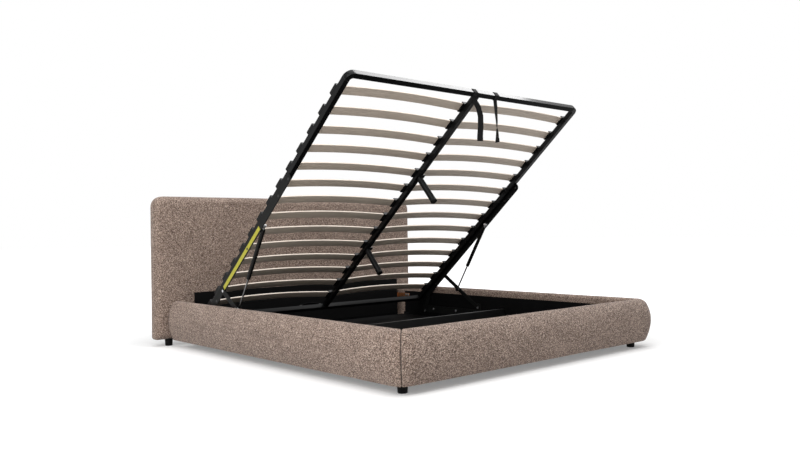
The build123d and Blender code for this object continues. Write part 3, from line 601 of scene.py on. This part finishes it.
def arcThrough(start, middle, end, count):
    (ax, ay), (bx, by), (cx, cy) = start, middle, end
    twice = 2 * (ax * (by - cy) + bx * (cy - ay) + cx * (ay - by))
    a, b, c = ax * ax + ay * ay, bx * bx + by * by, cx * cx + cy * cy
    ox = (a * (by - cy) + b * (cy - ay) + c * (ay - by)) / twice
    oy = (a * (cx - bx) + b * (ax - cx) + c * (bx - ax)) / twice
    radius = math.hypot(ax - ox, ay - oy)
    first = math.atan2(ay - oy, ax - ox)
    full = 2 * math.pi
    sweep = (math.atan2(cy - oy, cx - ox) - first) % full
    if (math.atan2(by - oy, bx - ox) - first) % full > sweep:
        sweep -= full
    angles = [first + sweep * index / count for index in range(count)]
    return [(ox + radius * math.cos(angle), oy + radius * math.sin(angle)) for angle in angles]


def swell(point, scale, seed, seedSlant=2.3):
    return noise.noise(Vector(point) * scale + Vector((seed, seed * seedSlant, 0)))


def waviness(point, waves, seed=0.0):
    # The sum of waves that are given as (scale, share, seed).
    return sum(swell(point, scale, seed + own) * share for scale, share, own in waves)


def cappedFaces(rings, count):
    last = (rings - 1) * count
    return ringFaces(rings, count) + [tuple(range(count)), tuple(range(last, last + count))]


# Filling: the covers are blown up a little as cloth over foam, held where they are fastened
filling = {
    "frames": 16, "quality": 6, "mass": 0.5, "pressure": 5.0,
    "stretch": 50.0, "shear": 20.0, "bend": 12.0, "most": 0.0045,
}


def fillCover(piece, look, heldAt):
    group = piece.vertex_groups.new(name="held")
    for vertex in piece.data.vertices:
        group.add([vertex.index], min(1.0, max(0.0, heldAt(vertex.co))), "REPLACE")
    cloth = piece.modifiers.new("filling", "CLOTH")
    settings = cloth.settings
    settings.quality = look["quality"]
    settings.mass = look["mass"]
    settings.tension_stiffness = settings.compression_stiffness = look["stretch"]
    settings.shear_stiffness = look["shear"]
    settings.bending_stiffness = look["bend"]
    settings.vertex_group_mass = "held"
    settings.use_pressure = True
    settings.uniform_pressure_force = look["pressure"]
    settings.effector_weights.gravity = 0
    cloth.collision_settings.use_collision = False
    cloth.point_cache.frame_start, cloth.point_cache.frame_end = 1, look["frames"]
    scene = bpy.context.scene
    for frameNumber in range(1, look["frames"] + 1):
        scene.frame_set(frameNumber)
    filled = piece.evaluated_get(bpy.context.evaluated_depsgraph_get())
    grown = [vertex.co.copy() for vertex in filled.data.vertices]
    piece.modifiers.remove(cloth)
    scene.frame_set(1)
    for vertex, spot in zip(piece.data.vertices, grown):
        move = spot - vertex.co
        if move.length > look["most"]:
            move *= look["most"] / move.length
        vertex.co += move
    piece.data.update()
    piece.vertex_groups.clear()
    print(piece.name, "filled")


# Padded rails
railPad = {
    "inner": 0.916,
    "footInner": -1.0775,
    "headEnd": 1.0412,
    "boardEnd": 0.9588,
    "thickness": 0.084,
    "bottom": 0.041,
    "top": 0.283,
    "boardSide": 0.0238,
    "pocket": ((0.0, 0.2363), (0.5, 0.2363), (1.0, 0.2363), (1.0, 0.15), (1.0, 0.09), (1.0, 0.041)),
    "plain": (0.2363, 0.2063, 0.19, 0.14, 0.09, 0.041),
    "pocketFoot": 0.010,
    "plainFoot": 0.02,
    "low": ((0.63, 0.0), (0.885, 0.227), (1.0, 0.504)),
    "high": ((1.0, 0.504), (0.940, 0.707), (0.750, 0.893)),
    "crest": ((0.750, 0.893), (0.555, 0.967), (0.270, 1.0)),
    "lip": ((0.270, 1.0), (0.080, 0.975), (0.0, 0.9215)),
    "arcSteps": {"low": 16, "high": 12, "crest": 10, "lip": 6},
    "lipFreedom": 0.2,
    "cornerPull": 0.265,
    "cornerReach": 0.105,
    "cornerCurve": 2.4,
    "coreOut": 0.03,
    "coreEase": 1.15,
    "endRound": 0.010,
    "endStations": (0.0, 0.001, 0.0025, 0.0045, 0.007, 0.010, 0.016, 0.024, 0.034),
    "seamGap": 0.0010,
    "step": 0.016,
    "boardStep": 0.0001,
    "unevenness": 0.0016,
    "waves": ((3.2, 0.7, 0.0), (11.0, 0.3, 4.0)),
    "creases": ((38.0, 0.12, 9.0),),
    "creaseStretch": 0.3,
    "calmEnd": 0.02,
    "seeds": {"leftRailCover": 3.0, "rightRailCover": 8.0, "footRailCover": 14.0},
    "held": {"out": (0.020, 0.030), "low": (0.006, 0.035), "end": (0.012, 0.05), "seam": (0.010, 0.06)},
}


def railSection(pad):
    # Points round the pad as seen from its end, with how far each may move: (out, height, freedom).
    thickness, height, bottom = pad["thickness"], pad["top"] - pad["bottom"], pad["bottom"]
    points = []
    for key, count in pad["arcSteps"].items():
        shares = [(out * thickness, bottom + up * height) for out, up in pad[key]]
        points += [(out, up, 1.0) for out, up in arcThrough(*shares, count)]
    lipEnd = (0.0, bottom + pad["lip"][-1][1] * height)
    points.append((*lipEnd, pad["lipFreedom"]))
    side = pad["boardSide"]
    pocket = [((side * share, up), (0.0, flat)) for (share, up), flat in zip(pad["pocket"], pad["plain"])]
    pocket.append(((side + pad["pocketFoot"], bottom), (pad["plainFoot"], bottom)))
    points = [(out, up, freedom, out, up) for out, up, freedom in points]
    points += [(*hollow, 0.0, *plain) for hollow, plain in pocket]
    return points


def stations(pad, length, boardEnd):
    # Places along a rail, closer together at its ends and on both sides of its board's end.
    places = list(pad["endStations"])
    inner = length - 2 * places[-1]
    count = max(2, round(inner / pad["step"]))
    middle = [places[-1] + inner * index / count for index in range(1, count)]
    full = places + middle + [length - place for place in reversed(places)]
    if boardEnd is not None:
        full += [boardEnd - pad["boardStep"], boardEnd + pad["boardStep"]]
    return sorted(set(full))


def cornerShare(pad, travel):
    # How far out the pad still reaches at a station near a mitred corner, drawn in by the seam.
    near = max(0.0, 1 - travel / pad["cornerReach"])
    return 1 - pad["cornerPull"] * near ** pad["cornerCurve"]


def endTuck(distance, radius):
    # How far a rounded end draws in at this distance from it.
    if distance >= radius:
        return 0.0
    return radius - math.sqrt(radius * radius - (radius - distance) ** 2)


def buildRail(name, pad, placeOf, innerLength, bothMitred, boardEnd=None):
    section = railSection(pad)
    count = len(section)
    seed = pad["seeds"][name]
    travels = stations(pad, innerLength, boardEnd)
    points = []
    for travel in travels:
        fromStart, fromEnd = travel, innerLength - travel
        share = cornerShare(pad, fromStart)
        if bothMitred:
            share = min(share, cornerShare(pad, fromEnd))
        tuck = endTuck(min(fromStart, fromEnd), pad["endRound"])
        plain = boardEnd is not None and travel > boardEnd
        ring = []
        for out, up, freedom, plainOut, plainUp in section:
            out, up = (plainOut, plainUp) if plain else (out, up)
            drawn = share if out > pad["coreOut"] else min(1.0, share * pad["coreEase"])
            ring.append((out * drawn, up, freedom))
        for index, (out, up, freedom) in enumerate(ring):
            before, after = ring[index - 1], ring[(index + 1) % count]
            run = Vector((after[0] - before[0], after[1] - before[1]))
            outward = Vector((run.y, -run.x))
            outward = outward.normalized() if outward.length > 1e-9 else Vector((0, 0))
            spot = placeOf(travel, out, up)
            wave = waviness(spot, pad["waves"], seed)
            crease = waviness((spot[0], spot[1], spot[2] * pad["creaseStretch"]), pad["creases"], seed)
            calm = min(1.0, min(fromStart, fromEnd) / pad["calmEnd"])
            push = freedom * (pad["unevenness"] * (wave + crease) * calm - tuck)
            out, up = out + outward.x * push, up + outward.y * push
            start = pad["seamGap"] - out
            end = innerLength + (out - pad["seamGap"] if bothMitred else 0)
            points.append(placeOf(start + (end - start) * travel / innerLength, out, up))
    return makePiece(name, points, cappedFaces(len(travels), count), finishes["upholstery"])


def sidePlace(side):
    return lambda along, out, up: (side * (railPad["inner"] + out), railPad["footInner"] + along, up)


def footPlace(along, out, up):
    return (along - railPad["inner"], railPad["footInner"] - out, up)


sideLength = railPad["headEnd"] - railPad["footInner"]
boardTravel = railPad["boardEnd"] - railPad["footInner"]
rails = {
    "side_rail_pad_left": buildRail("leftRailCover", railPad, sidePlace(-1), sideLength, False, boardTravel),
    "side_rail_pad_right": buildRail("rightRailCover", railPad, sidePlace(1), sideLength, False, boardTravel),
    "foot_rail_pad": buildRail("footRailCover", railPad, footPlace, 2 * railPad["inner"], True),
}


def railHeld(spot):
    # The cover is fastened inside the box, under the board and at its sewn ends.
    pad = railPad
    fromSide, fromFoot = abs(spot.x) - pad["inner"], pad["footInner"] - spot.y
    away = {
        "out": max(fromSide, fromFoot),
        "low": spot.z - pad["bottom"],
        "end": pad["headEnd"] - spot.y,
        "seam": abs(min(fromSide, pad["thickness"]) - min(fromFoot, pad["thickness"])),
    }
    return max(1 - (away[key] - full) / fade for key, (full, fade) in pad["held"].items())


for piece in rails.values():
    fillCover(piece, filling, railHeld)
for node, piece in rails.items():
    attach(piece, "bed_base")
    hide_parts(node)
print("rails padded")


# Headboard
headboardPad = {
    "halfWidth": 1.065,
    "low": 0.043,
    "high": 0.945,
    "front": 1.0415,
    "back": 1.1615,
    "topRadius": 0.066,
    "lowRadius": 0.016,
    "frontRound": 0.042,
    "backRound": 0.036,
    "leastRadii": (0.012, 0.002),
    "mostShares": (0.45, 0.3),
    "roundSteps": 8,
    "backSteps": 6,
    "perSide": (84, 36, 84, 36),
    "backFreedom": 0.5,
    "sideFreedom": 0.8,
    "crown": 0.007,
    "crownEase": 0.1,
    "crownReach": 0.30,
    "crownInsets": (0.06, 0.08, 0.105, 0.13, 0.16, 0.19, 0.22, 0.25,
                    0.28, 0.31, 0.34, 0.37, 0.40, 0.425, 0.44),
    "pocketDepth": 0.0777,
    "pocketInsets": (0.44, 0.3, 0.15, 0.052),
    "pocketSteps": (0.05, 0.02, 0.0005),
    "sideShares": (0.25, 0.5, 0.75),
    "unevenness": 0.0022,
    "waves": ((2.6, 0.65, 21.0), (8.0, 0.35, 5.0)),
    "heldFrom": 0.4,
}


def roundedRing(pad, inset):
    # The headboard's outline, drawn in by an inset.
    half, low, high = pad["halfWidth"] - inset, pad["low"] + inset, pad["high"] - inset
    (leastTop, leastFoot), (mostTop, mostFoot) = pad["leastRadii"], pad["mostShares"]
    top = min(max(pad["topRadius"] - inset, leastTop), (high - low) * mostTop)
    foot = min(max(pad["lowRadius"] - inset, leastFoot), (high - low) * mostFoot)
    turns = pad["roundSteps"]
    corners = [(half - top, high - top, top, 0), (-half + top, high - top, top, 90),
               (-half + foot, low + foot, foot, 180), (half - foot, low + foot, foot, 270)]
    ring = []
    for index, (x, z, radius, start) in enumerate(corners):
        for step in range(turns + 1):
            angle = math.radians(start + 90 * step / turns)
            ring.append((x + radius * math.cos(angle), z + radius * math.sin(angle)))
        nextX, nextZ, nextRadius, nextStart = corners[(index + 1) % 4]
        angle = math.radians(nextStart)
        goal = (nextX + nextRadius * math.cos(angle), nextZ + nextRadius * math.sin(angle))
        here = ring[-1]
        sections = pad["perSide"][index]
        for step in range(1, sections):
            share = step / sections
            ring.append((here[0] + (goal[0] - here[0]) * share, here[1] + (goal[1] - here[1]) * share))
    return ring


def headboardProfile(pad):
    # From the pocket for the board round the back and side to the crown of the front: (inset, y, freedom).
    front, back, frontRound, backRound = (pad[key] for key in ("front", "back", "frontRound", "backRound"))
    profile = [(inset, back - pad["pocketDepth"], 0.0) for inset in pad["pocketInsets"]]
    profile += [(pad["pocketInsets"][-1], back - depth, 0.0) for depth in pad["pocketSteps"]]
    for step in range(pad["backSteps"] + 1):
        angle = math.radians(90 * step / pad["backSteps"])
        around = backRound * math.sin(angle), backRound * math.cos(angle)
        profile.append((backRound - around[0], back - backRound + around[1], pad["backFreedom"]))
    for share in pad["sideShares"]:
        depth = back - backRound + (front + frontRound - back + backRound) * share
        profile.append((0.0, depth, pad["sideFreedom"]))
    turns = pad["roundSteps"]
    for step in range(turns + 1):
        angle = math.radians(90 * step / turns)
        drop = pad["crown"] * (1 - step / turns * pad["crownEase"])
        around = frontRound * math.sin(angle), frontRound * math.cos(angle)
        profile.append((frontRound - around[1], front + frontRound - around[0] + drop, 1.0))
    for inset in pad["crownInsets"]:
        depth = min(1.0, (inset - frontRound) / pad["crownReach"])
        profile.append((inset, front + pad["crown"] * (1 - pad["crownEase"]) * (1 - depth) ** 2, 1.0))
    return profile


def buildHeadboard(pad):
    points, profile = [], headboardProfile(pad)
    for inset, y, freedom in profile:
        push = pad["unevenness"] * freedom if inset >= pad["frontRound"] else 0.0
        ring = roundedRing(pad, inset)
        points += [(x, y + push * waviness((x, y, z), pad["waves"]), z) for x, z in ring]
    faces = cappedFaces(len(profile), len(ring))
    return makePiece("headboardCover", points, faces, finishes["upholstery"])


def headboardHeld(spot):
    # Free over the front, fastened from the edge of the front round to the back.
    pad = headboardPad
    start = pad["heldFrom"]
    return (spot.y - pad["front"] - pad["frontRound"] * start) / (pad["frontRound"] * (1 - start))


headboard = buildHeadboard(headboardPad)
fillCover(headboard, filling, headboardHeld)
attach(headboard, "bed_base")
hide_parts("headboard_pad")
print("headboard padded")


# Platform places: measured along the frame from the head tube and square to it
platformFrame = {"hinge": (0.7605, 0.194), "tilt": 40.7, "length": 1.9200, "tubeHalf": 0.015}


def onPlatform(along, above):
    tilt = math.radians(platformFrame["tilt"])
    y = platformFrame["hinge"][0] - along * math.cos(tilt) + above * math.sin(tilt)
    z = platformFrame["hinge"][1] + along * math.sin(tilt) + above * math.cos(tilt)
    return y, z


# Pull straps: webbing sewn round the foot tube, with a tail that hangs down and turns
pullStraps = {
    "width": 0.032,
    "thickness": 0.0020,
    "gap": 0.0006,
    "corner": 0.003,
    "steps": 44,
    "topGap": 0.0005,
    "rootLift": 0.008,
    "bow": 1.3,
    "hem": {"steps": 5, "out": 1.05, "width": 0.985},
    "straps": {
        "middlePullStrap": {
            "node": "pull_strap_middle", "x": -0.032, "length": 0.259, "outward": 0.004,
            "swing": ((0.0, 0.0), (0.12, 0.010), (0.28, 0.036), (0.45, 0.049), (0.7, 0.051), (1.0, 0.045)),
            "turn": ((0.0, 0.0), (0.2, -14.0), (0.45, -26.0), (0.75, -34.0), (1.0, -38.0)),
        },
        "rightPullStrap": {
            "node": "pull_strap_right", "x": 0.142, "length": 0.257, "outward": 0.003,
            "swing": ((0.0, 0.0), (0.3, 0.004), (0.55, 0.010), (0.8, 0.015), (1.0, 0.014)),
            "turn": ((0.0, 3.0), (0.15, 5.0), (0.34, 14.0), (0.53, 24.0),
                     (0.64, 35.0), (0.73, 62.0), (0.87, 73.0), (1.0, 87.0)),
        },
    },
}
bandSection = {"pinch": 0.4, "flat": 0.82, "thin": 0.8, "sharp": 70.0}


def smoothBetween(stops, place, softness=0.6):
    # A soft curve through (place, value) stops.
    for (firstPlace, firstValue), (nextPlace, nextValue) in zip(stops, stops[1:]):
        if place <= nextPlace:
            share = (place - firstPlace) / (nextPlace - firstPlace)
            share = share * share * (3 - 2 * share) * softness + share * (1 - softness)
            return firstValue + (nextValue - firstValue) * share
    return stops[-1][1]


def bandMesh(name, path, width, thickness, finish, closed=False):
    # A flat band along a path of (point, direction of its width), with softly rounded edges.
    half, edge = width / 2, thickness / 2
    pinch, flat, thin = edge * bandSection["pinch"], half * bandSection["flat"], edge * bandSection["thin"]
    right = [(flat, -thin), (half - edge, -edge), (half, -pinch)]
    under = [(-a, b) for a, b in reversed(right)] + [(0.0, -thin)] + right
    outline = under + [(a, -b) for a, b in reversed(under)]
    points = []
    last = len(path) - 1
    for index, (spot, across) in enumerate(path):
        before = path[last - 1 if closed and index == 0 else max(index - 1, 0)][0]
        after = path[1 if closed and index == last else min(index + 1, last)][0]
        along = (after - before).normalized()
        across = (across - along * across.dot(along)).normalized()
        out = along.cross(across)
        points += [spot + across * a + out * b for a, b in outline]
    faces = (ringFaces if closed else cappedFaces)(len(path), len(outline))
    return makePiece(name, points, faces, finish, bandSection["sharp"])


def tubeLoop(x, reach, corner):
    # Points round the square foot tube, with rounded corners, as it lies when raised.
    centreY, centreZ = onPlatform(platformFrame["length"], 0)
    tilt = math.radians(platformFrame["tilt"])
    path = []
    bends = 4
    for quarter, (signA, signB) in enumerate(((1, -1), (1, 1), (-1, 1), (-1, -1))):
        for step in range(bends + 1):
            angle = math.radians(90 * (quarter - 1) + 90 * step / bends)
            a = signA * (reach - corner) + corner * math.cos(angle)
            b = signB * (reach - corner) + corner * math.sin(angle)
            y = centreY - a * math.cos(tilt) + b * math.sin(tilt)
            z = centreZ + a * math.sin(tilt) + b * math.cos(tilt)
            path.append((Vector((x, y, z)), Vector((1, 0, 0))))
    return path + [path[0]]


def buildStrap(name, look, strap):
    centreY, centreZ = onPlatform(platformFrame["length"], 0)
    reach = platformFrame["tubeHalf"] + look["gap"] + look["thickness"] / 2
    corner = look["corner"] + look["thickness"] / 2
    loopPath = tubeLoop(strap["x"], reach, corner)
    loop = bandMesh(name + "Loop", loopPath, look["width"], look["thickness"], finishes["webbing"], True)
    low = min((spot for spot, across in loopPath), key=lambda spot: spot.z)
    top, end = low.z - look["topGap"], centreZ - strap["length"]
    tail = []
    for step in range(look["steps"] + 1):
        share = step / look["steps"]
        turn = math.radians(smoothBetween(strap["turn"], share))
        x = strap["x"] + smoothBetween(strap["swing"], share)
        out = look["thickness"] + strap["outward"] * math.sin(math.pi * min(1.0, share * look["bow"]))
        z = top + look["rootLift"] * (1 - share) - (top - end) * share
        tail.append((Vector((x, low.y - out, z)), Vector((math.cos(turn), math.sin(turn), 0))))
    hanging = bandMesh(name, tail, look["width"], look["thickness"], finishes["webbing"])
    # The free end folded over once and sewn
    sewn = look["hem"]
    back = Vector((0, -look["thickness"] * sewn["out"], 0))
    fold = [(spot + back, across) for spot, across in tail[-sewn["steps"]:]]
    hem = bandMesh(name + "Hem", fold, look["width"] * sewn["width"], look["thickness"], finishes["webbing"])
    return hanging, loop, hem


for name, strap in pullStraps["straps"].items():
    hanging, loop, hem = buildStrap(name, pullStraps, strap)
    for piece in (hanging, loop, hem):
        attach(piece, "platform")
    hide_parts(strap["node"])
print("straps hung")


# Mattress handle on the head tube: a low loop of webbing in two clips
headHandle = {
    "middle": -0.115, "span": 0.158, "rise": 0.017, "curve": 0.6, "lift": 0.003, "steps": 24,
    "width": 0.020, "thickness": 0.0026,
    "clip": 0.016, "clipRim": 0.003, "clipGap": 0.0002,
    "clipLevels": ((0.0, 0.0), (0.0042, 0.0), (0.0056, 0.0014)),
}


def buildHandle(look):
    tubeTop = platformFrame["tubeHalf"]
    sideY, sideZ = onPlatform(1.0, 0.0)
    baseY, baseZ = onPlatform(0.0, 0.0)
    along = Vector((0, sideY - baseY, sideZ - baseZ))
    path = []
    for step in range(look["steps"] + 1):
        share = step / look["steps"]
        rise = look["rise"] * math.sin(math.pi * share) ** look["curve"]
        x = look["middle"] + look["span"] * (share - 0.5)
        path.append((Vector((x, *onPlatform(0.0, tubeTop + look["lift"] + rise))), along))
    loop = bandMesh("headHandle", path, look["width"], look["thickness"], finishes["webbing"])
    halfAcross, halfAlong = look["clip"] / 2, look["width"] / 2 + look["clipRim"]
    clips = []
    for index, end in enumerate((path[0][0], path[-1][0])):
        corners = []
        for level, inset in look["clipLevels"]:
            for cornerX, cornerA in ((-1, -1), (1, -1), (1, 1), (-1, 1)):
                place = onPlatform(cornerA * (halfAlong - inset), tubeTop + look["clipGap"] + level)
                corners.append((end.x + cornerX * (halfAcross - inset), *place))
        faces = cappedFaces(len(look["clipLevels"]), 4)
        clips.append(makePiece("handleClip%d" % index, corners, faces, finishes["lift_steel"]))
    return loop, clips


handle, clips = buildHandle(headHandle)
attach(handle, "platform")
for clip in clips:
    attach(clip, "platform")
print("handle fixed")


# Cloth over the headboard's back
backCloth = {
    "halfWidth": 1.0127, "low": 0.0953, "high": 0.8927, "y": 1.1607,
    "thickness": 0.0012, "layerGap": 0.6, "columns": 90, "rows": 36,
    "sag": 0.0012, "sagShare": 0.6, "waves": (3.1, 3.7), "rimHeight": 0.79, "rim": 0.05,
    "sharp": 60.0,
}


def buildBackCloth(look):
    columns, rows = look["columns"], look["rows"]
    points = []
    for layer in (0, 1):
        for row in range(rows + 1):
            for column in range(columns + 1):
                across, upward = column / columns, row / rows
                x = -look["halfWidth"] + 2 * look["halfWidth"] * across
                z = look["low"] + (look["high"] - look["low"]) * upward
                fromSide = min(across, 1 - across) * 2 * look["halfWidth"]
                free = min(1.0, min(fromSide, min(upward, 1 - upward) * look["rimHeight"]) / look["rim"])
                wave = noise.noise(Vector((x * look["waves"][0], 0, z * look["waves"][1])))
                y = look["y"] - look["sag"] * free * (look["sagShare"] + wave)
                points.append((x, y + layer * look["thickness"] * look["layerGap"], z))
    width = columns + 1
    layerSize = width * (rows + 1)
    faces = []
    for layer in (0, 1):
        for row in range(rows):
            for column in range(columns):
                low = layer * layerSize + row * width + column
                faces.append((low, low + 1, low + width + 1, low + width))
    rim = list(range(width))
    rim += [row * width + columns for row in range(1, rows + 1)]
    rim += [rows * width + column for column in range(columns - 1, -1, -1)]
    rim += [row * width for row in range(rows - 1, 0, -1)]
    for index, here in enumerate(rim):
        after = rim[(index + 1) % len(rim)]
        faces.append((here, after, after + layerSize, here + layerSize))
    return makePiece("backCloth", points, faces, finishes["back_cloth"], look["sharp"])


cloth = buildBackCloth(backCloth)
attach(cloth, "bed_base")
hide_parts("headboard_back_cover")

# Staples round the cloth's edge, none quite square to it
backStaples = {
    "spacing": 0.052, "inset": 0.007, "crown": 0.0105, "wire": 0.0012, "tilt": 16.0, "scatter": 31.0,
    "rings": ((-0.0005, 1.0), (0.0003, 1.0), (0.0005, 0.86)),
}


def buildStaples(look, cover):
    inset = look["inset"]
    halfWidth, low, high = cover["halfWidth"] - inset, cover["low"] + inset, cover["high"] - inset
    corners = [(-halfWidth, low), (halfWidth, low), (halfWidth, high), (-halfWidth, high)]
    outer = cover["y"] + cover["thickness"] * cover["layerGap"]
    points, faces = [], []
    for index, (x, z) in enumerate(corners):
        nextX, nextZ = corners[(index + 1) % 4]
        count = round(math.hypot(nextX - x, nextZ - z) / look["spacing"])
        heading = math.atan2(nextZ - z, nextX - x)
        for step in range(count):
            share = (step + 0.5) / count
            middle = Vector((x + (nextX - x) * share, outer, z + (nextZ - z) * share))
            angle = heading + math.radians(look["tilt"]) * noise.noise(middle * look["scatter"]) * 2
            along = Vector((math.cos(angle), 0, math.sin(angle))) * look["crown"] / 2
            aside = Vector((-math.sin(angle), 0, math.cos(angle))) * look["wire"] / 2
            start = len(points)
            for depth, size in look["rings"]:
                for a, b in ((-1, -1), (1, -1), (1, 1), (-1, 1)):
                    points.append(middle + along * a * size + aside * b * size + Vector((0, depth, 0)))
            wrap = cappedFaces(len(look["rings"]), 4)
            faces += [tuple(start + corner for corner in face) for face in wrap]
    return makePiece("backStaples", points, faces, finishes["plain_steel"])


staples = buildStaples(backStaples, backCloth)
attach(staples, "bed_base")
print("back covered")


# Floor, light and white surroundings
studio = {
    "floorSize": 90.0, "floorTone": 0.78, "skyLight": 0.42,
    "nearLift": 0.24, "farLift": 0.85, "near": 1.7, "far": 4.2,
}


def buildStudio(look):
    half = look["floorSize"] / 2
    mesh = bpy.data.meshes.new("studioFloor")
    corners = [(-half, -half, 0), (half, -half, 0), (half, half, 0), (-half, half, 0)]
    mesh.from_pydata(corners, [], [(0, 1, 2, 3)])
    floor = bpy.data.objects.new("studioFloor", mesh)
    bpy.context.scene.collection.objects.link(floor)
    paint = Paint("studioFloor")
    diffuse = paint.node("BsdfDiffuse", None, {"Color": (look["floorTone"],) * 3})
    away = paint.node("VectorMath", {"operation": "LENGTH"}, {0: paint.place}, "Value")
    lift = paint.limits(away, look["near"], look["far"], look["nearLift"], look["farLift"])
    glow = paint.node("Emission", None, {"Color": (1.0, 1.0, 1.0), "Strength": paint.lookedAt() * lift})
    mesh.materials.append(paint.surface(paint.node("AddShader", None, {0: diffuse, 1: glow})))
    sky = Paint("studioWorld", bpy.data.worlds)
    strength = sky.limits(sky.lookedAt(), 0.0, 1.0, look["skyLight"], 1.0)
    back = sky.node("Background", None, {"Color": (1.0, 1.0, 1.0), "Strength": strength})
    bpy.context.scene.world = sky.surface(back, "OutputWorld")


lamps = {
    "leftPanel": {"place": (-5.4, -2.3, 3.8), "aim": (-0.3, 0.8, 0.6), "size": 4.4, "power": 240.0},
    "topPanel": {"place": (-0.5, -1.2, 6.0), "aim": (-0.3, 0.2, 0.5), "size": 5.5, "power": 275.0},
    "glossPanel": {"place": (4.6, -0.1, 7.3), "aim": (-0.3, -0.5, 1.4), "size": 3.6, "power": 650.0,
                   "glossOnly": True},
}


def buildLamp(name, look):
    data = bpy.data.lights.new(name, "AREA")
    data.shape = "SQUARE"
    data.size = look["size"]
    data.energy = look["power"]
    lamp = bpy.data.objects.new(name, data)
    lamp.location = look["place"]
    aim = Vector(look["aim"]) - Vector(look["place"])
    lamp.visible_diffuse = not look.get("glossOnly", False)
    lamp.rotation_mode = "QUATERNION"
    lamp.rotation_quaternion = aim.to_track_quat("-Z", "Y")
    bpy.context.scene.collection.objects.link(lamp)


buildStudio(studio)
for name, look in lamps.items():
    buildLamp(name, look)
bpy.context.scene.view_settings.view_transform = "Standard"
print("studio lit")
